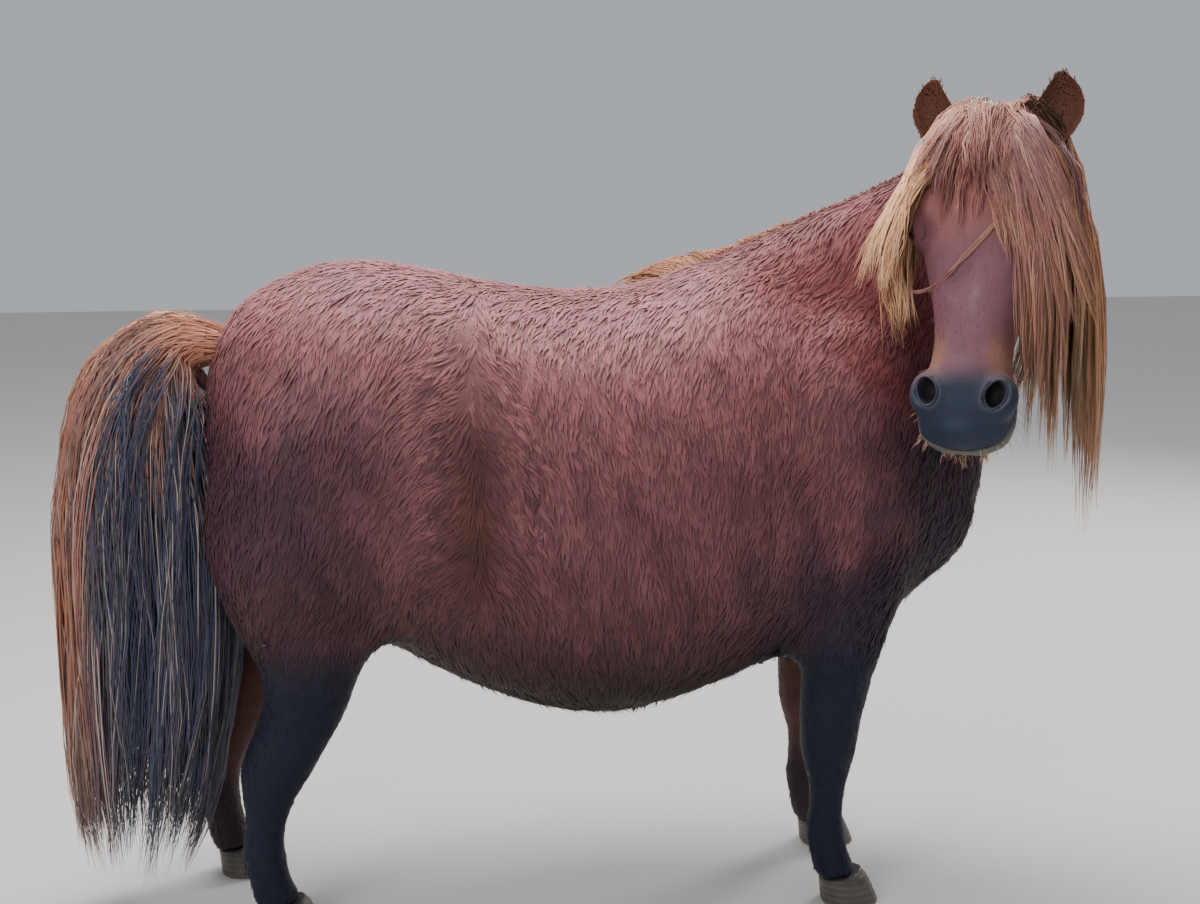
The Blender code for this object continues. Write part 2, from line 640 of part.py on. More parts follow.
def forelock(skin, draw):
    """Locks from between the ears: most sweep over the left of the face, a bunch falls over the right eye."""
    pieces = [ellipsoid("core", head_point(0.000, 0, -0.012), HEAD_AXES, (0.042, 0.050, 0.026), 12)]
    sheaves = ((9, 0.15, 0.85, 0.26, 0.40, 0.012), (3, -0.75, -0.55, 0.22, 0.28, 0.014),
               (3, -0.30, 0.05, 0.13, 0.19, 0.008))
    for count, low, high, short, long, lift in sheaves:
        for i in range(count):
            share = (i + 0.5) / count
            heading = low + (high - low) * share
            root = head_point(draw.uniform(-0.015, 0.015), 0.045 * max(-1.0, min(1.0, heading * 1.4)), -0.010)
            length = draw.uniform(short, long)
            layer = lift + 0.010 * (i % 2)
            path, outs = combed(skin, root, FACING + HEAD_LEFT * heading + Z * 0.7, length, layer, 0.42, 6)
            pieces.append(lock("lock", waved(path, outs, 0.002, draw.uniform(0, 6.28)), outs, 0.0155, 0.0055))
    return fused("forelock", pieces)


def waved(path, outs, reach, phase):
    """The path with a slight sideways wave that leaves its root in place."""
    last = len(path) - 1
    moved = []
    for i, place in enumerate(path):
        along = (path[min(i + 1, last)] - path[max(i - 1, 0)]).normalized()
        moved.append(place + along.cross(outs[i]) * reach * math.sin(phase + 2.4 * i) * min(1.0, i / 2))
    return moved


def tail_ring(share):
    """The middle of the tail at a share of its length, which way it runs, and its half width and half depth."""
    ahead = (smooth_path(TAIL_LINE, min(share + 0.04, 1)) - smooth_path(TAIL_LINE, max(share - 0.04, 0))).normalized()
    return smooth_path(TAIL_LINE, share), ahead, smooth_through(TAIL_WIDTH, share), smooth_through(TAIL_DEPTH, share)


def tail(draw):
    """A core round the dock, and locks that leave it all round and hang to just above the floor."""
    rings = []
    for i in range(8):
        share = 0.50 * i / 7
        place, ahead, width, depth = tail_ring(share)
        size = 1.0 - 0.42 * (share / 0.5) if i < 7 else 0.25
        rings.append(ring(place, Y, Y.cross(ahead), width * size, depth * size, depth * size, 2.0, 12))
    pieces = [loft("core", rings)]
    for tier, (count, first, start, finish, room) in enumerate(TAIL_TIERS):
        for i in range(count):
            angle = 2 * math.pi * (i + first) / count
            begin = start + draw.uniform(-0.02, 0.02)
            end = finish + draw.uniform(-0.09, 0.0)
            path, outs = [], []
            for k in range(6):
                share = begin + (end - begin) * k / 5
                place, ahead, width, depth = tail_ring(share)
                up = Y.cross(ahead)
                spread = 0.55 + (room - 0.55) * min(1.0, k / 2) if k < 5 else room * 0.92
                way = Y * math.cos(angle) * width + up * math.sin(angle) * depth
                path.append(place + way * spread)
                outs.append((Y * math.cos(angle) + up * math.sin(angle)).normalized())
            path = waved(path, outs, 0.004, draw.uniform(0, 6.28))
            pieces.append(lock("lock", path, outs, 0.031 - 0.003 * tier, 0.008))
    return fused("tail", pieces)


# Each material, and the nodes that bear it.
MATERIALS = {
    "coat": (0.28, 0.10, 0.055), "hair": (0.45, 0.20, 0.09), "tail_hair": (0.12, 0.06, 0.045),
    "eye": (0.02, 0.012, 0.01), "hoof": (0.05, 0.04, 0.035)}


def dress(obj):
    kinds = {"mane": "hair", "forelock": "hair", "tail": "tail_hair"}
    kind = kinds.get(obj.name, obj.name.split("_")[0])
    kind = kind if kind in MATERIALS else "coat"
    material = bpy.data.materials.get(kind) or bpy.data.materials.new(kind)
    material.use_nodes = True
    material.node_tree.nodes["Principled BSDF"].inputs["Base Color"].default_value = (*MATERIALS[kind], 1)
    obj.data.materials.clear()
    obj.data.materials.append(material)


def settle(parts):
    """Moves the pony so that the middle of its footprint's box is at the origin and its hooves are on the floor."""
    corners = np.array([v.co[:] for part in parts for v in part.data.vertices])
    low, high = corners.min(axis=0), corners.max(axis=0)
    shift = Vector((-(low[0] + high[0]) / 2, -(low[1] + high[1]) / 2, -low[2]))
    for part in parts:
        part.data.transform(Matrix.Translation(shift))


def beard(head, draw):
    """Short tufts under the chin, fused with the head."""
    pieces = [head]
    for along, left in ((0.395, -0.016), (0.405, 0.018), (0.425, -0.004), (0.440, -0.022), (0.445, 0.020)):
        root = head_point(along, left, -0.112)
        way = (-Z + NOSEWARD * 0.15 + HEAD_LEFT * left * 6).normalized()
        path = [root + way * 0.05 * k / 4 - FACING * 0.004 * (k / 4) ** 2 for k in range(5)]
        pieces.append(lock("tuft", path, [FACING] * 5, 0.009, 0.004))
    return fused("head", pieces)


def main():
    clear_scene()
    draw = random.Random(8)
    whole = whole_pony(BODY_VOXEL, BODY_SMOOTHING, BODY_SHARE)
    skin = tree_of(whole)
    parts = {}
    head = whole_pony(HEAD_VOXEL, HEAD_SMOOTHING, HEAD_SHARE)
    head.name = "head"
    cut(head, head_block(), "INTERSECT")
    carve_eyes(head)
    carve_nostrils(head)
    carve_mouth(head)
    head = beard(head, draw)
    parts["head"] = head
    parts["neck"] = copy_of(whole, "neck")
    cut(parts["neck"], head_block(GAP), "DIFFERENCE")
    cut(parts["neck"], neck_block(), "INTERSECT")
    parts["torso"] = copy_of(whole, "torso")
    cut(parts["torso"], neck_block(GAP), "DIFFERENCE")
    for name in LEG_STEP:
        leg_part = copy_of(whole, "leg_" + name)
        cut(leg_part, leg_block(name), "INTERSECT")
        cut(leg_part, hoof_block(name, GAP), "DIFFERENCE")
        cut(parts["torso"], leg_block(name, GAP), "DIFFERENCE")
        parts["leg_" + name] = leg_part
        parts["hoof_" + name] = hoof(name)
    bpy.data.objects.remove(whole)
    for side, word in ((1, "left"), (-1, "right")):
        parts["eye_" + word] = eye(side)
        parts["ear_" + word] = ear(side)
        clear_of(parts["ear_" + word], [head, parts["neck"]])
    flesh = [parts[name] for name in ("head", "neck", "torso")]
    ears = [parts["ear_left"], parts["ear_right"]]
    parts["forelock"] = forelock(skin, draw)
    clear_of(parts["forelock"], flesh[:2] + ears)
    parts["mane"] = mane(skin, draw)
    clear_of(parts["mane"], flesh + ears + [parts["forelock"]])
    parts["tail"] = tail(draw)
    clear_of(parts["tail"], [parts["torso"], parts["leg_hind_left"], parts["leg_hind_right"]])
    for part in parts.values():
        dress(part)
    settle(parts.values())


main()
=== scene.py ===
# %% [markdown]
# # A Shetland pony in a studio
#
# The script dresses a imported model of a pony. It makes one skin out of the solid parts, gives it lids,
# nostrils and a mouth, and covers it with tufts of hair that follow the lie of the coat. The mane, the
# forelock and the tail are long strands on guides that fall over the skin.

# %% [markdown]
# ## The frame
# The solids carry the pony's size and pose. They are loaded first and stay as they are. A real pony is
# measured from its own girth and poll, so the same axes are set up here once: one origin under the girth,
# and a frame on the head with a way down the nose, a way to its left ear and a way out of the brow. Every
# later piece is placed from these, so nothing is fitted by eye.

import math

import bmesh
import bpy
import numpy as np
from mathutils import Matrix, Vector
from mathutils.bvhtree import BVHTree


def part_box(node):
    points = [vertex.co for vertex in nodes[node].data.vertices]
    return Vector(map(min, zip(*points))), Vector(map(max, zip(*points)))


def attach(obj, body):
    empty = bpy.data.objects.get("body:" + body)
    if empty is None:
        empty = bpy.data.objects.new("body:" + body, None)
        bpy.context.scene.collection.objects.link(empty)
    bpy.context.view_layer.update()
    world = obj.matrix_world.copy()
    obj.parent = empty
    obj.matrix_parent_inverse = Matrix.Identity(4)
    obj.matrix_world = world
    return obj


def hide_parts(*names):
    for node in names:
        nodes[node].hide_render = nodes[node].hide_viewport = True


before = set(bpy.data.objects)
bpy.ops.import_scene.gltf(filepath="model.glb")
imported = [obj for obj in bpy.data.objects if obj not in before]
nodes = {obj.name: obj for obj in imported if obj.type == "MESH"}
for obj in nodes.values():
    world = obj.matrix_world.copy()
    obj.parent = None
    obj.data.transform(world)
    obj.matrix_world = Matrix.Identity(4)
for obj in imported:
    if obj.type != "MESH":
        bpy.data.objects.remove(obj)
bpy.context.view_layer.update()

# The near fore hoof ties the pony's own axes, with the girth's middle at zero, to the frame.
hoof_low, hoof_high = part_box("hoof_fore_right")
SHIFT = Vector(((hoof_low.x + hoof_high.x) / 2 - 0.369, (hoof_low.y + hoof_high.y) / 2 + 0.127, 0.0))

X, Y, Z = Vector((1, 0, 0)), Vector((0, 1, 0)), Vector((0, 0, 1))
FACE_TURN, FACE_LEAN = math.radians(30), math.radians(24)
POLL = Vector((0.526, -0.215, 1.192)) + SHIFT
FACING = Vector((-math.sin(FACE_TURN), -math.cos(FACE_TURN), 0))
NOSEWARD = math.sin(FACE_LEAN) * FACING - math.cos(FACE_LEAN) * Z
BROW = math.cos(FACE_LEAN) * FACING + math.sin(FACE_LEAN) * Z
HEAD_LEFT = Z.cross(FACING)
HEAD = np.array([NOSEWARD, HEAD_LEFT, BROW])
HEAD_LENGTH = 0.47
EYE_RADIUS = 0.0185
EYE_PLACE = (0.158, 0.0835, -0.034)


def head_point(along, left, out):
    return POLL + along * NOSEWARD + left * HEAD_LEFT + out * BROW


def in_head(points):
    """Places as along, left and out in the head's own frame."""
    return (points - np.array(POLL)) @ HEAD.T


# %% [markdown]
# ## Camera, floor and light
# The pony is seen by someone who stands at a fence, a little behind its shoulder, and looks slightly down.
# A long lens at three metres keeps the head and the haunch in proportion. Hair needs large soft lamps: a
# small hard one would put a spark on each strand. One lamp stands above, one beside the viewer and one
# behind, and a pale sky fills the shadows.

# %% Camera, floor and light
def camera_at_the_fence():
    """A standing person's view, a little from behind the shoulder and looking slightly down."""
    camera = bpy.data.cameras.new("camera")
    camera.lens, camera.sensor_width = 60, 36
    obj = bpy.data.objects.new("camera", camera)
    bpy.context.scene.collection.objects.link(obj)
    turn, dip, away = math.radians(8), math.radians(10), 3.0
    obj.location = Vector((-away * math.sin(turn), -away * math.cos(turn), 1.217)) + SHIFT
    forward = Vector((math.sin(turn) * math.cos(dip), math.cos(turn) * math.cos(dip), -math.sin(dip)))
    obj.rotation_mode = "QUATERNION"
    obj.rotation_quaternion = forward.to_track_quat("-Z", "Y")
    bpy.context.scene.camera = obj


def area_light(name, place, aim, size, power, colour):
    light = bpy.data.lights.new(name, "AREA")
    light.shape, light.size, light.energy, light.color = "DISK", size, power, colour
    obj = bpy.data.objects.new(name, light)
    bpy.context.scene.collection.objects.link(obj)
    obj.location = place
    obj.rotation_mode = "QUATERNION"
    obj.rotation_quaternion = (Vector(aim) - Vector(place)).to_track_quat("-Z", "Y")


camera_at_the_fence()
area_light("top", (-0.4, 0.6, 3.6), (0, 0, 0.6), 2.4, 150, (1.0, 0.97, 0.95))
area_light("key", (-2.6, -3.2, 2.9), (0.1, 0, 0.6), 2.2, 95, (1.0, 0.98, 0.96))
area_light("rim", (2.6, 2.4, 2.3), (0.2, 0, 0.8), 1.4, 85, (1.0, 0.94, 0.86))
world = bpy.data.worlds.new("studio")
world.use_nodes = True
world.node_tree.nodes["Background"].inputs["Color"].default_value = (0.86, 0.90, 0.96, 1)
world.node_tree.nodes["Background"].inputs["Strength"].default_value = 0.52
bpy.context.scene.world = world


# %% [markdown]
# ## Materials
# Skin, coat, long hair, horn and eyes differ in roughness and in fine relief more than in their make-up.
# One function therefore builds them all. The colour comes from an attribute on the mesh, because the
# markings follow the body, and noise on the object's own coordinates mottles it. A picture could hold the
# colour as well, but it would need an unwrap of every tuft.

# %% Materials
def noise(tree, scale, detail, coordinates, stretch=(1, 1, 1)):
    mapping = tree.nodes.new("ShaderNodeMapping")
    mapping.inputs["Scale"].default_value = stretch
    tree.links.new(coordinates, mapping.inputs["Vector"])
    made = tree.nodes.new("ShaderNodeTexNoise")
    made.inputs["Scale"].default_value = scale
    made.inputs["Detail"].default_value = detail
    tree.links.new(mapping.outputs["Vector"], made.inputs["Vector"])
    return made.outputs["Fac"]


def surface(name, roughness, sheen=0.0, bump=0.0, bump_scale=400.0, stretch=(1, 1, 1), mottle=0.12, tint=None,
            coat=0.0, specular=0.5):
    """A material that takes its colour from the mesh, mottled, with a fine bump."""
    material = bpy.data.materials.new(name)
    material.use_nodes = True
    tree = material.node_tree
    shader = tree.nodes["Principled BSDF"]
    coordinates = tree.nodes.new("ShaderNodeTexCoord").outputs["Object"]
    if tint is None:
        painted = tree.nodes.new("ShaderNodeAttribute")
        painted.attribute_name = "coat_colour"
        colour = painted.outputs["Color"]
    else:
        plain = tree.nodes.new("ShaderNodeRGB")
        plain.outputs[0].default_value = (*tint, 1)
        colour = plain.outputs[0]
    ramp = tree.nodes.new("ShaderNodeMapRange")
    ramp.inputs["To Min"].default_value = 1.0 - 2 * mottle
    ramp.inputs["To Max"].default_value = 1.0 + 2 * mottle
    tree.links.new(noise(tree, 45.0, 4.0, coordinates), ramp.inputs["Value"])
    mix = tree.nodes.new("ShaderNodeVectorMath")
    mix.operation = "SCALE"
    tree.links.new(colour, mix.inputs[0])
    tree.links.new(ramp.outputs["Result"], mix.inputs["Scale"])
    tree.links.new(mix.outputs["Vector"], shader.inputs["Base Color"])
    shader.inputs["Roughness"].default_value = roughness
    shader.inputs["Specular IOR Level"].default_value = specular
    shader.inputs["Sheen Weight"].default_value = sheen
    shader.inputs["Sheen Roughness"].default_value = 0.45
    shader.inputs["Sheen Tint"].default_value = (1.0, 0.86, 0.84, 1)
    shader.inputs["Coat Weight"].default_value = coat
    if bump:
        relief = tree.nodes.new("ShaderNodeBump")
        relief.inputs["Strength"].default_value = bump
        relief.inputs["Distance"].default_value = 0.002
        tree.links.new(noise(tree, bump_scale, 3.0, coordinates, stretch), relief.inputs["Height"])
        tree.links.new(relief.outputs["Normal"], shader.inputs["Normal"])
    return material


def dress(obj, material, slot, *replaced):
    obj.data.materials.clear()
    obj.data.materials.append(material)
    if replaced:
        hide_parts(*replaced)
    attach(obj, "root")
    return obj


floor_mesh = bpy.data.meshes.new("floor")
floor_mesh.from_pydata([(-9, -9, -0.0004), (9, -9, -0.0004), (9, 9, -0.0004), (-9, 9, -0.0004)], [], [(0, 1, 2, 3)])
floor = bpy.data.objects.new("floor", floor_mesh)
bpy.context.scene.collection.objects.link(floor)
floor_mesh.materials.append(surface("floor", 0.8, tint=(0.62, 0.61, 0.59), mottle=0.01))


# %% [markdown]
# ## Mesh helpers
# A coat holds tens of thousands of tufts, so its corners are made as arrays and handed to a mesh in one go.
# Adding them one by one with operators would give the same mesh and take an hour. The other helpers join
# copies of the solids, melt them together with a voxel remesh, and cut or add a shape.

# %% Mesh helpers
def object_of(name, verts, tris, smooth=True):
    """An object from arrays of corners and triangles."""
    mesh = bpy.data.meshes.new(name)
    mesh.vertices.add(len(verts))
    mesh.vertices.foreach_set("co", np.ascontiguousarray(verts, dtype=np.float32).ravel())
    mesh.loops.add(tris.size)
    mesh.loops.foreach_set("vertex_index", np.ascontiguousarray(tris, dtype=np.int32).ravel())
    mesh.polygons.add(len(tris))
    mesh.polygons.foreach_set("loop_start", np.arange(0, tris.size, 3, dtype=np.int32))
    mesh.update(calc_edges=True)
    mesh.polygons.foreach_set("use_smooth", np.full(len(tris), smooth))
    obj = bpy.data.objects.new(name, mesh)
    bpy.context.scene.collection.objects.link(obj)
    return obj


def face_like(mesh, normals):
    """Shade hair like the surface it lies on."""
    lengths = np.maximum(np.linalg.norm(normals, axis=1, keepdims=True), 1e-6)
    mesh.normals_split_custom_set_from_vertices((normals / lengths).tolist())


def paint(mesh, colours):
    layer = mesh.color_attributes.new("coat_colour", "FLOAT_COLOR", "POINT")
    rgba = np.ones((len(colours), 4), dtype=np.float32)
    rgba[:, :3] = colours
    layer.data.foreach_set("color", rgba.ravel())


def corners_of(mesh):
    co = np.empty(len(mesh.vertices) * 3, dtype=np.float32)
    mesh.vertices.foreach_get("co", co)
    return co.reshape(-1, 3).astype(float)


def triangles_of(mesh):
    mesh.calc_loop_triangles()
    tris = np.empty(len(mesh.loop_triangles) * 3, dtype=np.int32)
    mesh.loop_triangles.foreach_get("vertices", tris)
    return tris.reshape(-1, 3)


def tree_of(mesh):
    return BVHTree.FromPolygons([tuple(c) for c in corners_of(mesh)], [tuple(t) for t in triangles_of(mesh)])


def merged(name, names):
    """One mesh object from copies of CAD nodes."""
    verts, tris, start = [], [], 0
    for node in names:
        mesh = nodes[node].data
        verts.append(corners_of(mesh))
        tris.append(triangles_of(mesh) + start)
        start += len(verts[-1])
    return object_of(name, np.concatenate(verts), np.concatenate(tris))


def apply(obj):
    graph = bpy.context.evaluated_depsgraph_get()
    mesh = bpy.data.meshes.new_from_object(obj.evaluated_get(graph))
    obj.modifiers.clear()
    old = obj.data
    obj.data = mesh
    bpy.data.meshes.remove(old)


def remesh(obj, voxel, rounds, factor=0.5):
    melt = obj.modifiers.new("melt", "REMESH")
    melt.mode = "VOXEL"
    melt.voxel_size = voxel
    melt.use_smooth_shade = True
    smooth = obj.modifiers.new("smooth", "SMOOTH")
    smooth.factor, smooth.iterations = factor, rounds
    apply(obj)


def boolean(obj, tool, operation):
    cut = obj.modifiers.new("cut", "BOOLEAN")
    cut.operation, cut.object, cut.solver = operation, tool, "MANIFOLD"
    apply(obj)
    bpy.data.objects.remove(tool)


def tube(name, path, radii, sides=8, closed=False):
    """A closed tube along a path of points, whose ends taper or meet."""
    rings = []
    count = len(path)
    for i, place in enumerate(path):
        before, after = (path[(i - 1) % count], path[(i + 1) % count]) if closed else (
            path[max(i - 1, 0)], path[min(i + 1, count - 1)])
        along = (after - before).normalized()
        side = along.cross(Vector((0.3, 0.9, 0.2))).normalized()
        up = side.cross(along)
        rings.append([place + radii[i] * (side * math.cos(a) + up * math.sin(a))
                      for a in (2 * math.pi * k / sides for k in range(sides))])
    verts = np.array([p[:] for ring in rings for p in ring])
    tris = []
    for i in range(count if closed else count - 1):
        j = (i + 1) % count
        for k in range(sides):
            m = (k + 1) % sides
            tris += [(i * sides + k, j * sides + k, j * sides + m), (i * sides + k, j * sides + m, i * sides + m)]
    if not closed:
        for k in range(1, sides - 1):
            tris += [(0, k, k + 1), ((count - 1) * sides, (count - 1) * sides + k + 1, (count - 1) * sides + k)]
    obj = object_of(name, verts, np.array(tris))
    face_outwards(obj)
    return obj


def face_outwards(obj):
    bm = bmesh.new()
    bm.from_mesh(obj.data)
    bmesh.ops.recalc_face_normals(bm, faces=bm.faces)
    if bm.calc_volume(signed=True) < 0:
        bmesh.ops.reverse_faces(bm, faces=bm.faces)
    bm.to_mesh(obj.data)
    bm.free()


# %% [markdown]
# ## The skin
# A pony's skin has no seam where the neck meets the breast or a leg meets the belly. Sculpting one from
# nothing would lose the sizes, so the solids are melted together and smoothed, the body coarse, the legs
# finer, and the head and ears finest. Where head and neck join, the corners are evened out until the seam
# is gone. The eye is then built as on the animal: a lid lies on the ball as a slightly larger ball, a hood
# and a fold lie above it, a wedge opens it along an almond, and a thin rim finishes the edge. The mouth is
# cut by a curved blade, and each nostril gets a soft rim.

# %% The skin: body and head melted from the solid parts, then made one
def eye_frame(side):
    look = (side * 0.82 * HEAD_LEFT + 0.50 * BROW + 0.10 * NOSEWARD).normalized()
    length = (NOSEWARD - look * NOSEWARD.dot(look)).normalized()
    return head_point(EYE_PLACE[0], side * EYE_PLACE[1], EYE_PLACE[2]), look, length, look.cross(length)


def almond(side, reach, height, lift, count=40):
    """Points of an almond on a ball round the eye."""
    middle, look, length, up = eye_frame(side)
    if up.dot(BROW) < 0:
        up = -up
    points = []
    for i in range(count):
        angle = 2 * math.pi * i / count
        s = math.sin(angle)
        flat = length * reach * math.cos(angle) + up * height * s * (0.55 + 0.45 * abs(s)) * (1.0 if s > 0 else 0.85)
        depth = math.sqrt(max(lift ** 2 - flat.length ** 2, 1e-8))
        points.append(middle + look * depth + flat)
    return points


def crescent(side, reach, height, lift, start, end, count=18):
    """Part of an almond, such as a fold above the lid."""
    points = almond(side, reach, height, lift, 64)
    return [points[int(start * 64 + (end - start) * 64 * k / (count - 1)) % 64] for k in range(count)]


def nostril_frame(side):
    inward = (side * -0.55 * HEAD_LEFT - 0.80 * BROW - 0.15 * NOSEWARD).normalized()
    long_way = NOSEWARD - side * 0.30 * HEAD_LEFT
    long_way = (long_way - inward * long_way.dot(inward)).normalized()
    return head_point(0.401, side * 0.050, -0.012), inward, long_way, long_way.cross(inward)


def step_up(values, low, high):
    t = np.clip((values - low) / (high - low), 0, 1)
    return t * t * (3 - 2 * t)


def relax(values, edges, rounds, share=0.5):
    """Values at the corners of a mesh, evened out with those next to them."""
    count = np.maximum(np.bincount(edges.ravel(), minlength=len(values)), 1)[:, None]
    size = len(values)
    for _ in range(rounds):
        total = np.stack([np.bincount(edges[:, 0], values[edges[:, 1], k], size)
                          + np.bincount(edges[:, 1], values[edges[:, 0], k], size)
                          for k in range(values.shape[1])], axis=1)
        values = values + share * (total / count - values)
    return values


def edges_of(mesh):
    edges = np.empty(len(mesh.edges) * 2, dtype=np.int32)
    mesh.edges.foreach_get("vertices", edges)
    return edges.reshape(-1, 2)


def normals_of(mesh):
    normals = np.empty(len(mesh.vertices) * 3, dtype=np.float32)
    mesh.vertices.foreach_get("normal", normals)
    return normals.reshape(-1, 3).astype(float)


def put_corners(mesh, places):
    mesh.vertices.foreach_set("co", np.ascontiguousarray(places, dtype=np.float32).ravel())
    mesh.update()


def ball(name, centre, radius):
    bpy.ops.object.select_all(action="DESELECT")
    bpy.ops.mesh.primitive_uv_sphere_add(segments=48, ring_count=24, radius=radius, location=centre)
    obj = bpy.context.object
    obj.name = name
    bpy.ops.object.transform_apply(location=True, rotation=False, scale=False)
    return obj


def opening(side):
    """A wedge that leaves the eye through the slit between the lids."""
    middle, look, length, up = eye_frame(side)
    rim = [p - middle for p in almond(side, 0.0172, 0.0108, EYE_RADIUS + 0.003)]
    verts = np.array([middle[:]] + [(middle + r * 1.9)[:] for r in rim])
    tris = [(0, k + 1, (k + 1) % 40 + 1) for k in range(40)] + [(1, k + 1, k) for k in range(2, 40)]
    obj = object_of("opening", verts, np.array(tris))
    face_outwards(obj)
    return obj


SKIN_NODES = ["torso", "neck", "head", "ear_left", "ear_right", "leg_fore_left", "leg_fore_right", "leg_hind_left",
              "leg_hind_right"]
SEAM_PLACE = head_point(0.0, 0, -0.17) - X * 0.02 + Y * 0.05
SEAM_WAY = (BROW + 0.35 * NOSEWARD).normalized()


LEGS = ["leg_fore_left", "leg_fore_right", "leg_hind_left", "leg_hind_right"]


def make_leg(name):
    """One leg, finer than the body, sunk into it at the top and reaching into its hoof."""
    leg = merged("leg_skin", [name])
    remesh(leg, 0.0070, 6)
    places, outs = corners_of(leg.data), normals_of(leg.data)
    places -= outs * (0.008 * step_up(places[:, 2], 0.30, 0.44))[:, None]
    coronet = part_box(name.replace("leg", "hoof"))[1].z
    lowest = places[:, 2].min()
    places[:, 2] -= (lowest - coronet + 0.012) * step_up(-places[:, 2], -0.10, -lowest - 0.004)
    put_corners(leg.data, places)
    return leg


def mouth_wedge(body):
    """A thin curved blade that parts the lips."""
    tree = tree_of(body.data)
    middle = head_point(0.385, 0, -0.059)
    outer, inner = [], []
    for k in range(25):
        angle = math.pi * (k / 24 - 0.5)
        way = math.cos(angle) * NOSEWARD + math.sin(angle) * HEAD_LEFT
        hit = tree.ray_cast(middle + way * 0.2, -way)[0]
        outer.append(middle + way * ((hit - middle).length + 0.01) - BROW * 0.006 * math.cos(angle) + BROW * 0.003)
        inner.append(middle + way * ((hit - middle).length - 0.006) - BROW * 0.006 * math.cos(angle) + BROW * 0.003)
    verts = [p + BROW * at for at in (-0.0013, 0.0013) for row in (outer, inner) for p in row]
    tris = []
    for k in range(24):
        for low, high in ((0, 25), (75, 50), (25, 75), (50, 0)):
            tris += [(low + k, low + k + 1, high + k + 1), (low + k, high + k + 1, high + k)]
    tris += [(0, 25, 75), (0, 75, 50), (24, 74, 99), (24, 99, 49)]
    wedge = object_of("mouth", np.array([v[:] for v in verts]), np.array(tris))
    face_outwards(wedge)
    return wedge


def shape_lips(head):
    """A full lower lip that shows under the upper one, and a chin drawn back behind it."""
    places = corners_of(head.data)
    along, left, out = in_head(places).T
    end = step_up(along, 0.400, 0.440)
    lip = 0.0035 * np.exp(-((out + 0.074) / 0.011) ** 2) - 0.011 * step_up(-out, 0.086, 0.112)
    put_corners(head.data, places + np.array(NOSEWARD) * (lip * end)[:, None])


def make_skin():
    body = merged("skin", ["torso", "neck"] + LEGS)
    remesh(body, 0.0116, 28)
    for name in LEGS:
        boolean(body, make_leg(name), "UNION")
    head = merged("head_skin", ["head", "neck"])
    remesh(head, 0.0037, 6)
    shape_lips(head)
    for name in ("ear_left", "ear_right"):
        ear = merged("ear_skin", [name])
        remesh(ear, 0.0021, 4, 0.4)
        places = corners_of(ear.data)
        axis = in_head(places)[:, 1]
        places += np.array(HEAD_LEFT) * (0.30 * (axis - axis.mean()))[:, None]
        places[:, 2] -= 0.018 if name == "ear_right" else 0.007
        put_corners(ear.data, places)
        boolean(head, ear, "UNION")
    bm = bmesh.new()
    bm.from_mesh(head.data)
    bmesh.ops.bisect_plane(bm, geom=bm.verts[:] + bm.edges[:] + bm.faces[:], plane_co=SEAM_PLACE, plane_no=SEAM_WAY,
                           clear_inner=True)
    bmesh.ops.holes_fill(bm, edges=[e for e in bm.edges if e.is_boundary], sides=0)
    bmesh.ops.triangulate(bm, faces=[f for f in bm.faces if len(f.verts) > 4])
    bm.to_mesh(head.data)
    bm.free()
    face_outwards(head)
    boolean(body, head, "UNION")
    places = corners_of(body.data)
    near = np.abs((places - np.array(SEAM_PLACE)) @ np.array(SEAM_WAY))
    loose = np.clip(1 - near / 0.05, 0, 1)[:, None] * (places[:, 2:3] > 0.6)
    evened = relax(places, edges_of(body.data), 25)
    put_corners(body.data, places + loose * (evened - places))
    face_tree = tree_of(body.data)
    boolean(body, mouth_wedge(body), "DIFFERENCE")
    for side in (1, -1):
        middle, look, length, up = eye_frame(side)
        boolean(body, ball("lid_ball", middle, EYE_RADIUS + 0.0035), "UNION")
        above = up if up.dot(BROW) > 0 else -up
        hood = ball("hood", (0, 0, 0), 1)
        axes = Matrix((length * 0.027, above * 0.0120, look * 0.0125)).transposed()
        centre = middle + look * 0.0085 + above * 0.0155 - length * 0.006
        places = corners_of(hood.data) @ np.array(axes.transposed()) + np.array(centre)
        put_corners(hood.data, places)
        face_outwards(hood)
        boolean(body, hood, "UNION")
        fold = crescent(side, 0.0235, 0.0190, EYE_RADIUS + 0.0058, 0.02, 0.48)
        boolean(body, tube("fold", fold, [0.0034 * math.sin(math.pi * (k + 0.5) / 18) ** 0.6 for k in range(18)]),
                "UNION")
        boolean(body, opening(side), "DIFFERENCE")
        boolean(body, ball("socket", middle, EYE_RADIUS + 0.0002), "DIFFERENCE")
        rim = almond(side, 0.0182, 0.0116, EYE_RADIUS + 0.0026)
        boolean(body, tube("lid", rim, [0.0018] * 40, 8, True), "UNION")
        middle, inward, long_way, across = nostril_frame(side)
        rim = []
        for k in range(32):
            a = 2 * math.pi * k / 32
            place = middle + long_way * 0.0218 * math.cos(a) + across * 0.0150 * math.sin(a)
            near, normal, _, _ = face_tree.find_nearest(place)
            rim.append(near + normal * 0.0004)
        for _ in range(6):
            rim = [(rim[k - 1] + rim[k] * 2 + rim[(k + 1) % 32]) / 4 for k in range(32)]
        boolean(body, tube("nostril_rim", rim, [0.0018] * 32, 8, True), "UNION")
    return body


skin = make_skin()
print("skin", len(skin.data.vertices), "corners", len(skin.data.polygons), "faces")

# %% [markdown]
# ## Regions
# Hair is long on the belly, short on the face and flat on the legs. Each corner of the skin takes the name
# of the nearest solid, and the borders are then blurred along the skin, so that every rule for colour and
# hair fades from one part into the next. Painting such weights by hand is the usual way; working them out
# keeps them right when a solid changes.

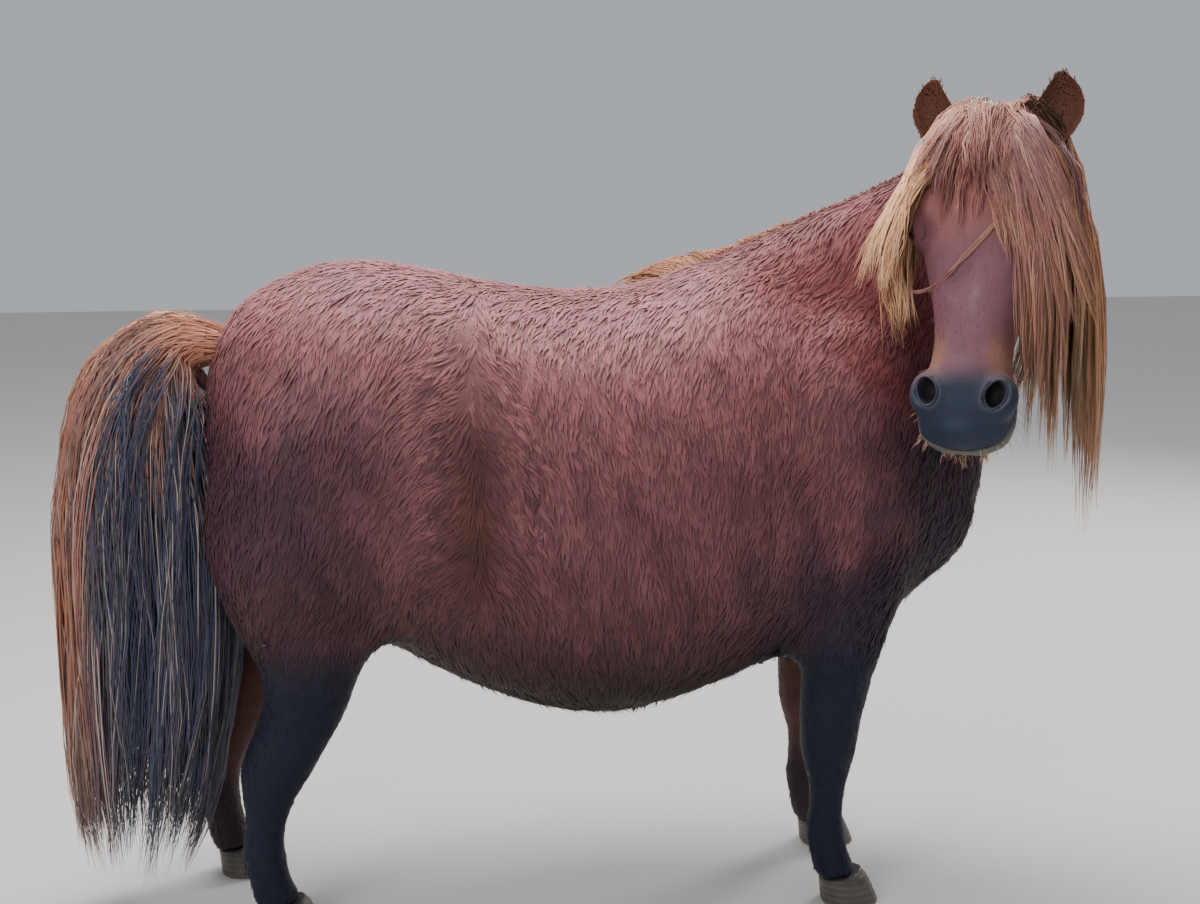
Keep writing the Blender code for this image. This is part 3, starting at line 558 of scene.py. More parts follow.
# %% Which part each corner of the skin belongs to
PARTS = {"torso": 0, "neck": 1, "head": 2, "ear_left": 3, "ear_right": 3}
part_corners, part_tris, part_of = [], [], []
for name in SKIN_NODES:
    mesh = nodes[name].data
    tris = triangles_of(mesh)
    part_tris.append(tris + sum(len(c) for c in part_corners))
    part_corners.append(corners_of(mesh))
    part_of += [PARTS.get(name, 4)] * len(tris)
solid_tree = BVHTree.FromPolygons([tuple(c) for c in np.concatenate(part_corners)],
                                  [tuple(t) for t in np.concatenate(part_tris)])
corners = corners_of(skin.data)
skin_edges = edges_of(skin.data)
weights = np.zeros((len(corners), 5))
for i, place in enumerate(corners):
    weights[i, part_of[solid_tree.find_nearest(Vector(place))[2]]] = 1
weights = relax(weights, skin_edges, 24)


# %% [markdown]
# ## Markings, painted light and shade, and the lie of the coat
# The pony is a dark chestnut, nearly black on the near legs, warm in a band down the flank and slate on the
# muzzle. Painted sky light makes its back pale, painted shade darkens the belly, the breast, the lower haunch
# and the hip notch, and painted highlights and shade finish the nostrils, the mouth, the eyes and the ripples
# by the parting. Hair lies backwards and down, turns forward over the barrel, and parts on the flank below a
# small whorl at the hip. Colour and lie are written as smooth functions of a place on the skin. Skin and tufts
# use the same ones, so that no bare patch differs from the coat above it.

# %% Markings, painted light and shade, and the lie of the coat
def ripple(p, wave, seed):
    """Slow, smooth noise, from -1 to 1."""
    rng = np.random.default_rng(seed)
    total = np.zeros(len(p))
    for _ in range(5):
        way = rng.normal(size=3)
        way *= rng.uniform(0.7, 1.5) * 2 * math.pi / (wave * np.linalg.norm(way))
        total += np.sin(p @ way + rng.uniform(0, 6.28))
    return total / 5


CHESTNUT = (0.173, 0.061, 0.068)
# Painted sky light and sheen: a paler coat where the skin faces up
SKY_LIT_BACK = (0.360, 0.138, 0.150)
# Painted shade low on the barrel, and under the belly where the skin faces down
SHADED = (0.055, 0.018, 0.023)
WARM_FLANK = (0.062, 0.017, 0.014)
UNDERSIDE_SHADE = (0.018, 0.010, 0.009)
BLACK_LEG = (0.003, 0.006, 0.020)
RED_LEG = (0.120, 0.050, 0.036)
NECK = (0.170, 0.038, 0.040)
# Painted shade on the breast, between the forelegs and under the neck
BREAST_SHADE = (0.014, 0.007, 0.020)
# Painted shade on the lower haunch
HAUNCH_SHADE = (0.036, 0.014, 0.026)
BRIDGE = (0.185, 0.076, 0.098)
FOREHEAD = (0.330, 0.125, 0.115)
MUZZLE = (0.015, 0.024, 0.046)
LIP = (0.135, 0.140, 0.118)
EAR_OUTSIDE = (0.270, 0.105, 0.055)
EAR_INSIDE = (0.140, 0.052, 0.032)
CHIN_HAIR = (0.420, 0.240, 0.150)


def blend(colours, other, share):
    return colours + (np.array(other) - colours) * np.clip(share, 0, 1)[:, None]


NOTCH = (-0.212, 0.885)


def below_notch(z, low, high):
    return step_up(-z, -NOTCH[1] - 0.01, -NOTCH[1] + 0.03) * step_up(z, low, high)


def flank_band(x, z, width):
    """The warm band down the flank, where the coat parts below the hip."""
    return np.exp(-((x - NOTCH[0]) / width) ** 2) * below_notch(z, 0.46, 0.60)


def beside_flank(x, z):
    """Where short ripples fan out on both sides of the parting."""
    ahead = x - NOTCH[0]
    middle = np.where(ahead > 0, 0.034 + 0.048 * step_up(-z, -NOTCH[1], -NOTCH[1] + 0.2), 0.044)
    return np.exp(-((np.abs(ahead) - middle) / 0.020) ** 2) * below_notch(z, 0.52, 0.64)


def ferns(p):
    return np.sin(2 * math.pi * ((p[:, 2] + 0.5 * np.abs(p[:, 0] - NOTCH[0])) / 0.032 + 1.0 * ripple(p, 0.09, 16)))


def markings(places, normals, weights):
    """The coat's colour at places on the skin, with painted sky light and painted shade in it."""
    p = places - np.array(SHIFT)
    x, y, z = p.T
    up = normals[:, 2]
    slow = ripple(p, 0.30, 4)
    body = np.tile(np.array(CHESTNUT), (len(p), 1))
    patchy = 0.05 * slow + 0.03 * ripple(p, 0.11, 14)
    # Painted shade on the lower rear of the haunch
    body = blend(body, HAUNCH_SHADE, 0.80 * step_up(-x + patchy, 0.27, 0.46) * step_up(-z + patchy, -0.88, -0.70))
    # Painted shade, darker towards the bottom of the barrel
    body = blend(body, SHADED, 0.80 * step_up(-z + patchy, -0.64, -0.42))
    body = blend(body, WARM_FLANK, 0.85 * flank_band(x, z, 0.034))
    # Painted shadow in the hip notch
    body = blend(body, (0.030, 0.010, 0.010), 0.85 * np.exp(-((x - NOTCH[0]) / 0.026) ** 2 - ((z - NOTCH[1] + 0.012) / 0.012) ** 2))
    # Painted shade on the breast below the neck
    body = blend(body, BREAST_SHADE, 0.90 * step_up(x + patchy, 0.32, 0.46) * step_up(-z + patchy, -0.90, -0.70))
    # Painted shade low on the chest between the forelegs
    body = blend(body, BREAST_SHADE, 0.90 * step_up(x + patchy, 0.12, 0.30) * step_up(-z + patchy, -0.68, -0.50))
    # Painted sky light on the upward-facing back
    body = blend(body, SKY_LIT_BACK, 0.95 * step_up(up + 0.10 * slow, 0.15, 0.85))
    # Painted shade where the skin faces down
    body = blend(body, UNDERSIDE_SHADE, step_up(-up + 0.15 * slow, 0.30, 0.80))
    neck = np.tile(np.array(NECK), (len(p), 1))
    # Painted sky light on the top of the neck
    neck = blend(neck, SKY_LIT_BACK, 0.35 * step_up(up, 0.1, 0.8))
    # Painted shade on the neck's lower front
    neck = blend(neck, BREAST_SHADE, 0.85 * step_up(-z + patchy, -1.00, -0.78) * step_up(x, 0.36, 0.50))
    leg = np.tile(np.array(RED_LEG), (len(p), 1))
    near = step_up(-y, -0.02, 0.02)
    leg = blend(leg, BLACK_LEG, np.maximum(near, 0.75 * step_up(-z, -0.26, -0.12)))
    top = np.where(x > 0, step_up(z, 0.48, 0.62), step_up(z, 0.36, 0.54))
    leg = blend(leg, body, top)
    along, left, out = in_head(places).T
    face = np.tile(np.array(FOREHEAD), (len(p), 1))
    face = blend(face, BRIDGE, step_up(along, 0.12, 0.22) * step_up(out, -0.07, -0.02))
    face = blend(face, CHESTNUT, 0.7 * step_up(-out, 0.05, 0.09))
    face = blend(face, (0.33, 0.15, 0.09), 0.7 * np.exp(-((along - 0.345) / 0.03) ** 2) * step_up(np.abs(left), 0.015, 0.045))
    # A faint pale mark on the bridge, partly a painted highlight
    pale_mark_and_highlight = np.exp(-((along - 0.262) / 0.022) ** 2 - ((left - 0.004) / 0.007) ** 2)
    face = blend(face, (0.50, 0.36, 0.36), 0.16 * pale_mark_and_highlight)
    face = blend(face, MUZZLE, step_up(along + 0.012 * slow, 0.345, 0.400))
    line = -0.056 - 0.006 * np.cos(np.clip(left / 0.06, -1, 1) * math.pi / 2)
    lower_lip = step_up(line - out, 0.0005, 0.0025) * step_up(out, -0.090, -0.078) * step_up(along, 0.41, 0.45)
    face = blend(face, LIP, 0.8 * lower_lip)
    # Painted shade along the mouth line, in the crease between the lips
    slit = np.exp(-((out - line) / 0.0020) ** 2) * step_up(along, 0.37, 0.40)
    face = blend(face, (0.004, 0.004, 0.006), 0.9 * slit)
    chin = step_up(-out, 0.096, 0.106)
    face = blend(face, CHIN_HAIR, chin * step_up(along, 0.35, 0.38))
    for side in (1, -1):
        middle, inward, long_way, across = nostril_frame(side)
        d = places - np.array(middle)
        ring = np.hypot((d @ np.array(long_way)) / 0.0215, (d @ np.array(across)) / 0.0152)
        near_it = step_up(-np.linalg.norm(d, axis=1), -0.045, -0.035)
        nostril_shade = step_up(d @ np.array(inward), 0.004, 0.010)
        # Painted highlight round the nostril rim
        face = blend(face, (0.13, 0.125, 0.15), 0.24 * np.exp(-((ring - 1.10) / 0.14) ** 2) * near_it)
        # Painted shade inside the nostril, which is not cut open
        face = blend(face, (0.006, 0.005, 0.006), near_it * nostril_shade * step_up(-ring, -1.1, -0.9))
        eye, look, _, _ = eye_frame(side)
        gap = np.linalg.norm(places - np.array(eye), axis=1)
        # Painted shade round the eye, under its hood
        face = blend(face, (0.135, 0.048, 0.058), 0.80 * step_up(-gap, -0.044, -0.028))
        # Darker still at the lids, right round the ball
        face = blend(face, (0.020, 0.012, 0.014), 0.90 * step_up(-gap, -0.0235, -0.0215))
    ear = np.tile(np.array(EAR_OUTSIDE), (len(p), 1))
    ear = blend(ear, EAR_INSIDE, step_up(normals @ np.array(FACING), -0.1, 0.4))
    colours = sum(weights[:, k:k + 1] * c for k, c in enumerate((body, neck, face, ear, leg)))
    streaks = ripple(p * (1.0, 1.0, 0.35), 0.040, 15)
    shade = 1 + 0.10 * ripple(p, 0.05, 7) + 0.18 * ripple(p, 0.14, 8) + 0.20 * streaks * weights[:, 0]
    # Painted shade and highlight on the ripples beside the parting: dark gaps and pale strokes
    shade += 0.45 * ferns(p) * beside_flank(x, z) * weights[:, 0]
    return colours * shade[:, None]


def lie_of_coat(places, normals, weights):
    """Which way the hair lies on the skin."""
    p = places - np.array(SHIFT)
    x, y, z = p.T
    along, left, out = in_head(places).T
    rump = step_up(-x, 0.30, 0.50)
    on_top = step_up(normals[:, 2], 0.45, 0.9)
    forward = 0.20 * np.exp(-((x - 0.02) / 0.20) ** 2)
    back = -0.35 + forward * 2.2 + 0.05 * rump - 0.45 * on_top
    parting = np.tanh((x - NOTCH[0]) / 0.012) * flank_band(x, z, 0.085)
    back = back + 1.05 * parting
    hip = np.exp(-((x - NOTCH[0]) / 0.05) ** 2 - ((z - NOTCH[1] - 0.035) / 0.03) ** 2)
    back = back + 0.9 * hip * np.sin((x - NOTCH[0]) / 0.02)
    torso = np.stack([back, 0.35 * np.tanh(y / 0.05), -0.85 + 0 * x], axis=1)
    neck = np.stack([np.full(len(p), -0.55), 0.2 * np.tanh(y / 0.05), np.full(len(p), -0.8)], axis=1)
    leg = np.stack([np.full(len(p), -0.18), 0 * x, np.full(len(p), -1.0)], axis=1)
    cheek = step_up(-out, 0.03, 0.10)
    head = (np.array(NOSEWARD) * (1 - 0.4 * cheek)[:, None] - np.array(BROW) * (0.15 + 0.7 * cheek)[:, None]
            + np.array(HEAD_LEFT) * (0.35 * np.tanh(left / 0.02))[:, None])
    ear = np.tile(np.array(Z - 0.4 * FACING), (len(p), 1))
    way = sum(weights[:, k:k + 1] * w for k, w in enumerate((torso, neck, head, ear, leg)))
    turn = 0.30 * ripple(p, 0.16, 1) + 0.22 * ripple(p, 0.05, 2)
    turn += 0.45 * ferns(p) * np.sign(x - NOTCH[0]) * beside_flank(x, z)
    turn += 0.6 * ripple(p, 0.06, 5) * step_up(-x, 0.50, 0.57)
    turn *= 1 - 0.7 * weights[:, 2] - 0.5 * weights[:, 4]
    way = way + np.cross(normals, way) * turn[:, None]
    way -= normals * np.sum(way * normals, axis=1)[:, None]
    return way / np.maximum(np.linalg.norm(way, axis=1), 1e-6)[:, None]


def hair_length(places, normals, weights):
    p = places - np.array(SHIFT)
    x, y, z = p.T
    along, left, out = in_head(places).T
    torso = 0.030 + 0.006 * step_up(-normals[:, 2], 0.2, 0.8)
    torso = torso * (1 - 0.5 * np.exp(-((x - NOTCH[0]) / 0.032) ** 2 - ((z - NOTCH[1] - 0.012) / 0.014) ** 2))
    leg = 0.013 + 0.007 * step_up(-z, -0.075, -0.060) + 0.016 * step_up(z, 0.36, 0.56) + 0.014 * np.exp(-((z - 0.105) / 0.03) ** 2) * step_up(-normals[:, 0], 0.2, 0.7)
    head = 0.009 + 0.014 * step_up(-out, 0.06, 0.13) * step_up(-along, -0.36, -0.26)
    head = head * (1 - 0.70 * step_up(along, 0.30, 0.40))
    return sum(weights[:, k] * length for k, length in enumerate((torso, 0.032 + 0 * x, head, 0.010 + 0 * x, leg)))


def coat_depth(length):
    return np.clip(length * 0.24 - 0.0008, 0, 0.008)


normals = normals_of(skin.data)
normals = relax(normals, skin_edges, 3)
normals /= np.linalg.norm(normals, axis=1)[:, None]
depth = relax(coat_depth(hair_length(corners, normals, weights))[:, None], skin_edges, 10)
eye_gap = np.min([np.linalg.norm(corners - np.array(eye_frame(side)[0]), axis=1) for side in (1, -1)], axis=0)
depth *= (step_up(eye_gap, 0.024, 0.034) * step_up(corners[:, 2], hoof_high.z, hoof_high.z + 0.03))[:, None]
corners = corners - normals * depth
put_corners(skin.data, corners)
# Painted shade on the skin under the tufts, a little less on the head
shade_under_coat = 0.86 + 0.12 * weights[:, 2:3]
paint(skin.data, shade_under_coat * markings(corners, normals, weights))
dress(skin, surface("skin", 0.62, sheen=0.06, bump=0.5, bump_scale=420.0, mottle=0.08, specular=0.3), "coat", *SKIN_NODES)
skin_tree = tree_of(skin.data)
skin_tris = triangles_of(skin.data)
earless = (weights[skin_tris, 3].max(axis=1) < 0.3) & (eye_gap[skin_tris].min(axis=1) > 0.031)
earless_tree = BVHTree.FromPolygons([tuple(c) for c in corners], [tuple(t) for t in skin_tris[earless]])


# %% [markdown]
# ## The coat
# Up close a winter coat is thousands of short locks, each flat, pointed and lying on the next. Particle
# hair would be simple, but it is lost when the model is saved as a mesh. So one flat tuft of ten triangles
# is modelled and repeated, rooted in the skin, bent along it, and drawn towards its neighbours at the tip.
# The tufts are shaded like the skin below them, which keeps the coat soft. They are long on the body and
# very small on the face and the feet. Each has a small patch of its own on the bake map.

# %% Tufts of coat hair
def bake_places(places, normals, group):
    """Where roots lie on an unwrap of the skin: a square for each part of the body and way it faces."""
    facing = np.argmax(np.abs(normals), axis=1)
    chart = group * 6 + facing * 2 + (normals[np.arange(len(normals)), facing] > 0)
    other = np.array([(1, 2), (0, 2), (0, 1)])[facing]
    flat = np.stack([places[np.arange(len(places)), other[:, k]] for k in (0, 1)], axis=1)
    uv = np.zeros((len(places), 2))
    for c in np.unique(chart):
        inside = chart == c
        low, high = flat[inside].min(axis=0), flat[inside].max(axis=0)
        uv[inside] = ((flat[inside] - low) / np.maximum(high - low, 1e-6).max() * 0.9 + 0.05 + (c % 6, c // 6)) / 6
    return uv


def add_bake_map(mesh, uv, tris):
    layer = mesh.uv_layers.new(name="OFBake")
    layer.data.foreach_set("uv", np.ascontiguousarray(uv[tris.ravel()], dtype=np.float32).ravel())


TUFT_TRIS = np.array([(0, 1, 4), (0, 4, 3), (1, 2, 5), (1, 5, 4), (2, 0, 3), (2, 3, 5), (3, 4, 6), (4, 5, 6),
                      (5, 3, 6), (0, 2, 1)])[:, ::-1]
TUFT_PATCH = np.array([(0, 0), (0.5, 0), (1, 0), (0.1, 0.5), (0.5, 0.5), (0.9, 0.5), (0.5, 1)])
TUFTS = 90000
PIECES = 6

rng = np.random.default_rng(11)
a, b, c = (corners[skin_tris[:, k]] for k in range(3))
areas = np.linalg.norm(np.cross(b - a, c - a), axis=1) / 2
part_share = weights[skin_tris].mean(axis=1)
density = part_share @ np.array([1.0, 1.05, 2.6, 2.2, 1.25])
lengths_here = hair_length(corners, normals, weights)
mid = (a + b + c) / 3
along_here, left_here, out_here = in_head(mid).T
bare = part_share[:, 2] * step_up(along_here, 0.385, 0.42)
front = part_share[:, 2] * step_up(out_here, -0.085, -0.045)
density *= (1 - 0.85 * bare) * (1 - 0.75 * front)
density *= step_up(np.min([np.linalg.norm(mid - np.array(eye_frame(s)[0]), axis=1) for s in (1, -1)], axis=0),
                   0.022, 0.027)
density *= step_up(mid[:, 2], hoof_high.z - 0.002, hoof_high.z + 0.001)
share = areas * density
pick = rng.choice(len(share), TUFTS, p=share / share.sum())
u, v = rng.random((2, TUFTS))
flip = u + v > 1
u[flip], v[flip] = 1 - u[flip], 1 - v[flip]
bary = np.stack([1 - u - v, u, v], axis=1)


def at_roots(values):
    return np.einsum("nk,nkj->nj", bary, values[skin_tris[pick]])


roots, root_normals, root_weights = at_roots(corners), at_roots(normals), at_roots(weights)
root_normals /= np.linalg.norm(root_normals, axis=1)[:, None]
ways = lie_of_coat(roots, root_normals, root_weights)
ways = ways + np.cross(root_normals, ways) * rng.normal(0, 0.16, TUFTS)[:, None]
ways /= np.linalg.norm(ways, axis=1)[:, None]
lengths = hair_length(roots, root_normals, root_weights) * rng.uniform(0.65, 1.3, TUFTS)
thick = coat_depth(lengths) + 0.0006


on_ear = root_weights[:, 3] > 0.5


def laid(places, heights):
    """Places moved on to the skin, then lifted from it, but on the thin ears only lifted."""
    moved = places + root_normals * (heights + 0.0003)[:, None]
    for i in np.flatnonzero(~on_ear):
        place = places[i]
        near, normal, _, _ = skin_tree.find_nearest(Vector(place))
        moved[i] = near + normal * heights[i]
    return moved


stand = rng.random(TUFTS) ** 3
stand[rng.random(TUFTS) < 0.04] = 1.9
fluff = 1 - 0.5 * root_weights[:, 3]
middles = laid(roots + ways * lengths[:, None] * 0.5, thick * fluff * (0.12 + 0.20 * rng.random(TUFTS)))
tips = laid(roots + ways * lengths[:, None], thick * fluff * (0.05 + 0.9 * stand))
from mathutils.kdtree import KDTree

CLUMPS = TUFTS // 14
chosen = rng.choice(TUFTS, CLUMPS, replace=False)
clump_tree = KDTree(CLUMPS)
for k, i in enumerate(chosen):
    clump_tree.insert(Vector(middles[i]), k)
clump_tree.balance()
clump_of = np.array([clump_tree.find(Vector(m))[1] for m in middles])
pull = np.clip(lengths / 0.03, 0.2, 1)[:, None] * 0.30
tips += (tips[chosen[clump_of]] - tips) * pull * (np.linalg.norm(tips[chosen[clump_of]] - tips, axis=1)[:, None] < 0.03)
middles += (middles[chosen[clump_of]] - middles) * pull * 0.3

side = np.cross(ways, root_normals)
side /= np.linalg.norm(side, axis=1)[:, None]
wide = np.clip(lengths * 0.055, 0.0004, 0.0017)[:, None] * rng.uniform(0.7, 1.3, (TUFTS, 1))
wide = wide * math.sqrt(104000 / TUFTS)
sunk = roots - root_normals * 0.0012
ring = np.stack([side * wide, root_normals * wide * 0.35, -side * wide], axis=1)
tuft_verts = np.concatenate([sunk[:, None] + ring * 0.7, middles[:, None] + ring, tips[:, None]], axis=1)
tuft_normals = np.repeat(root_normals[:, None], 7, axis=1)
tuft_normals[:, [0, 3]] += 0.35 * side[:, None]
tuft_normals[:, [2, 5]] -= 0.35 * side[:, None]
tuft_normals[:, 6] += 0.25 * ways
root_colours = markings(roots, root_normals, root_weights)
clump_shade = rng.uniform(0.92, 1.08, CLUMPS)[clump_of]
shade = clump_shade * rng.uniform(0.90, 1.14, TUFTS)
tint = 1 + rng.normal(0, 0.035, (TUFTS, 3))
# Painted shade at each tuft's root near the skin; the tip is paler
tuft_colours = root_colours[:, None] * (shade[:, None] * tint)[:, None] * np.array([0.85] * 3 + [1.0] * 3 + [1.18])[None, :, None]
group = np.argmax(root_weights, axis=1)
root_uv = bake_places(roots, root_normals, group)

fur_material = surface("fur", 0.55, sheen=0.05, mottle=0.06, specular=0.3)
order = rng.permutation(TUFTS)
for k, chosen_tufts in enumerate(np.array_split(order, PIECES)):
    count = len(chosen_tufts)
    tris = (TUFT_TRIS[None] + 7 * np.arange(count)[:, None, None]).reshape(-1, 3)
    piece = object_of(f"coat_{k + 1}", tuft_verts[chosen_tufts].reshape(-1, 3), tris)
    paint(piece.data, np.clip(tuft_colours[chosen_tufts], 0, 1).reshape(-1, 3))
    uv = (root_uv[chosen_tufts][:, None] + 0.003 * (TUFT_PATCH - 0.5)[None]).reshape(-1, 2)
    add_bake_map(piece.data, uv, tris)
    face_like(piece.data, tuft_normals[chosen_tufts].reshape(-1, 3))
    dress(piece, fur_material, "coat")
print("coat", TUFTS, "tufts")


# %% [markdown]
# ## Long hair
# Mane, forelock and tail are locks of long hair. A hairdresser's way works here: first a guide for each
# lock, which leaves the crest, falls under its own weight and is held off by the hair below it, and then
# dozens of fine strands round each guide, gathered in small locks, a little wavy, and pale here and there.
# Flat cards with a painted texture are quicker to render, but from the side they look like paper.

# %% Long hair: guides that fall over the skin, and strands along them
def smooth_through(points, at):
    """The height at a place on a smooth curve through (place, height) points."""
    places, heights = [p[0] for p in points], [p[1] for p in points]
    slopes = np.gradient(heights, places)
    i = min(max(int(np.searchsorted(places, at)) - 1, 0), len(points) - 2)
    span = places[i + 1] - places[i]
    t = min(max((at - places[i]) / span, 0.0), 1.0)
    rise = heights[i + 1] - heights[i]
    start, end = slopes[i] * span - rise, rise - slopes[i + 1] * span
    return float(heights[i] + t * rise + t * (1 - t) * (start * (1 - t) + end * t))


def smooth_path(points, share):
    places = [i / (len(points) - 1) for i in range(len(points))]
    return Vector([smooth_through(list(zip(places, [p[k] for p in points])), share) for k in range(3)])


def combed(root, heading, length, lift, weight=0.3, steps=14, drift=Vector()):
    """A path that leaves its root, falls, and is held off the skin by the hair that lies under it."""
    fall = (drift - Z).normalized()
    path, outs = [root], []
    direction = heading.normalized()
    for i in range(1, steps + 1):
        direction = (direction * (1 - weight) + fall * weight).normalized()
        place = path[-1] + direction * length / steps
        near, normal, _, distance = earless_tree.find_nearest(place)
        height = (place - near).dot(normal)
        wanted = lift * min(1.0, i / (0.43 * steps))
        if height < wanted:
            place += normal * (wanted - height)
        direction = (place - path[-1]).normalized()
        path.append(path[-1] + direction * length / steps)
        outs.append(normal if distance < 0.12 or not outs else outs[-1])
    for _ in range(5):
        path = [path[0]] + [(path[i - 1] + path[i] * 2 + path[i + 1]) / 4 for i in range(1, steps)] + [path[-1]]
        outs = [(outs[max(i - 1, 0)] + outs[i] * 2 + outs[min(i + 1, steps - 1)]).normalized() for i in range(steps)]
    return path, [outs[0]] + outs


def strand_triangles(stations):
    """Two triangles on each side between one station and the next, and a cap at both ends."""
    sides = [t for s in range(stations - 1) for k in range(3) for m in ((k + 1) % 3,)
             for t in ((s * 3 + k, s * 3 + m, s * 3 + 3 + m), (s * 3 + k, s * 3 + 3 + m, s * 3 + 3 + k))]
    last = 3 * stations
    return np.array(sides + [(0, 2, 1), (last - 3, last - 2, last - 1)])[:, ::-1]


def along_path(path, shares):
    """Places at shares of a path's length, for many strands at once."""
    steps = np.linspace(0, 1, len(path))
    return np.stack([np.interp(shares, steps, path[:, k]) for k in range(3)], axis=-1)


def strands(guide, outs, count, reach, thickness, width, stops, rng, uv_root, uv_span, frizz=1.0, short=0.72,
            tip_reach=0.6, stations=7, light=(0.09, (0.52, 0.31, 0.20))):
    """Strands along one guide, gathered in small locks: corners, colours and the bake map's places."""
    guide, outs = np.array([p[:] for p in guide]), np.array([o[:] for o in outs])
    steps = np.linspace(0, 1, stations)
    shares = steps[None] * rng.uniform(short, 1.0, (count, 1))
    locks = 6
    lock_angle, lock_radius = rng.uniform(0, 2 * math.pi, locks), np.sqrt(rng.random(locks)) * 0.85
    which = rng.integers(0, locks, count)
    angle, radius = rng.uniform(0, 2 * math.pi, count), np.sqrt(rng.random(count)) * 0.45
    spread = np.interp(shares, (0, 0.3, 0.65, 1), (0.6, 1.0, 0.95, tip_reach))
    gather = np.interp(shares, (0, 0.35, 1), (1.0, 0.9, 0.30))
    a = (lock_radius * np.cos(lock_angle))[which][:, None] * spread + (radius * np.cos(angle))[:, None] * gather
    b = (lock_radius * np.sin(lock_angle))[which][:, None] * spread + (radius * np.sin(angle))[:, None] * gather
    centre = along_path(guide, shares)
    ahead = along_path(np.gradient(guide, axis=0), shares)
    ahead /= np.linalg.norm(ahead, axis=-1, keepdims=True)
    out = along_path(outs, shares)
    across = np.cross(ahead, out)
    across /= np.linalg.norm(across, axis=-1, keepdims=True)
    out = np.cross(across, ahead)
    lock_wave = rng.random(locks)[which][:, None]
    waves = frizz * (np.sin(2 * math.pi * (shares * 1.6 + lock_wave)) * 0.004
                     + np.sin(2 * math.pi * (shares * rng.uniform(1.0, 2.4, (count, 1)) + rng.random((count, 1))))
                     * rng.uniform(0.0005, 0.003, (count, 1))
                     + np.sin(2 * math.pi * (shares * rng.uniform(2.5, 4.5, (count, 1)) + rng.random((count, 1))))
                     * rng.uniform(0.0, 0.0014, (count, 1))) * np.minimum(1, shares * 4)
    lift = frizz * np.sin(2 * math.pi * (shares * 1.5 + lock_wave * 3)) * 0.0025 * np.minimum(1, shares * 4)
    centre = centre + across * (a * reach + waves)[..., None] + out * (b * thickness + lift)[..., None]
    size = width * np.interp(steps, (0, 0.2, 0.7, 0.9, 1), (0.8, 1, 1, 0.7, 0.12))
    size = size[None] * rng.uniform(0.7, 1.25, (count, 1))
    ring = [across * math.cos(t) + out * math.sin(t) for t in (math.pi / 2, math.pi * 7 / 6, math.pi * 11 / 6)]
    verts = np.stack([centre + r * size[..., None] for r in ring], axis=2)
    bulge = across * a[..., None] * 0.5 + out * (0.8 + 0.4 * b[..., None])
    normals = np.stack([0.6 * r + 0.7 * bulge for r in ring], axis=2)
    tone = (rng.uniform(0.78, 1.22, locks)[which] * rng.uniform(0.78, 1.25, count))[:, None, None]
    tone = tone * (1 + rng.normal(0, 0.04, (count, 1, 3)))
    pace = steps[None] * rng.uniform(0.75, 1.25, (count, 1))
    colours = np.stack([np.interp(pace, [s for s, _ in stops], [c[k] for _, c in stops]) for k in range(3)], axis=-1)
    pale = (rng.random(count) < light[0])[:, None] * np.clip((pace - 0.1) * 5, 0, 1) * rng.uniform(0.4, 0.9, (count, 1))
    colours = colours * tone + (np.array(light[1]) - colours * tone) * pale[..., None]
    colours = np.repeat(colours[:, :, None], 3, axis=2)
    place = np.array(uv_root) + np.array(uv_span) * rng.uniform(-0.5, 0.5, (count, 2))
    patch = np.stack(np.meshgrid((0, 0.5, 1), steps), axis=-1)
    uv = place[:, None, None] + 0.003 * (patch - 0.5)[None]
    return (verts.reshape(count, -1, 3), colours.reshape(count, -1, 3), uv.reshape(count, -1, 2),
            normals.reshape(count, -1, 3))


def hair_pieces(name, made, material, slot, replaced, pieces):
    verts, colours, uv, normals = (np.concatenate([m[k] for m in made]) for k in range(4))
    order = np.random.default_rng(3).permutation(len(verts))
    corners_each = verts.shape[1]
    pattern = strand_triangles(corners_each // 3)
    for k, chosen in enumerate(np.array_split(order, pieces)):
        tris = (pattern[None] + corners_each * np.arange(len(chosen))[:, None, None]).reshape(-1, 3)
        piece = object_of(f"{name}_{k + 1}", verts[chosen].reshape(-1, 3), tris)
        paint(piece.data, np.clip(colours[chosen], 0, 1).reshape(-1, 3))
        add_bake_map(piece.data, uv[chosen].reshape(-1, 2), tris)
        face_like(piece.data, normals[chosen].reshape(-1, 3))
        dress(piece, material, slot, *(replaced if k == 0 else ()))
    print(name, len(verts), "strands")


THIN = 1.0
CREST = [Vector(p) + SHIFT for p in ((0.10, 0, 0.955), (0.20, 0, 1.003), (0.31, -0.005, 1.048), (0.41, -0.025, 1.092),
                                     (0.485, -0.075, 1.138), (0.528, -0.14, 1.172), (0.530, -0.20, 1.180))]
long_hair = surface("long_hair", 0.45, sheen=0.06, mottle=0.05, specular=0.4)


def crest_point(share):
    place = smooth_path(CREST, share)
    ahead = (smooth_path(CREST, min(share + 0.05, 1)) - smooth_path(CREST, max(share - 0.05, 0))).normalized()
    return place, ahead, Z.cross(ahead).normalized()


def mane_length(share):
    return smooth_through(((0.0, 0.17), (0.3, 0.26), (0.55, 0.48), (0.75, 0.66), (0.9, 0.74), (1.0, 0.76)), share)


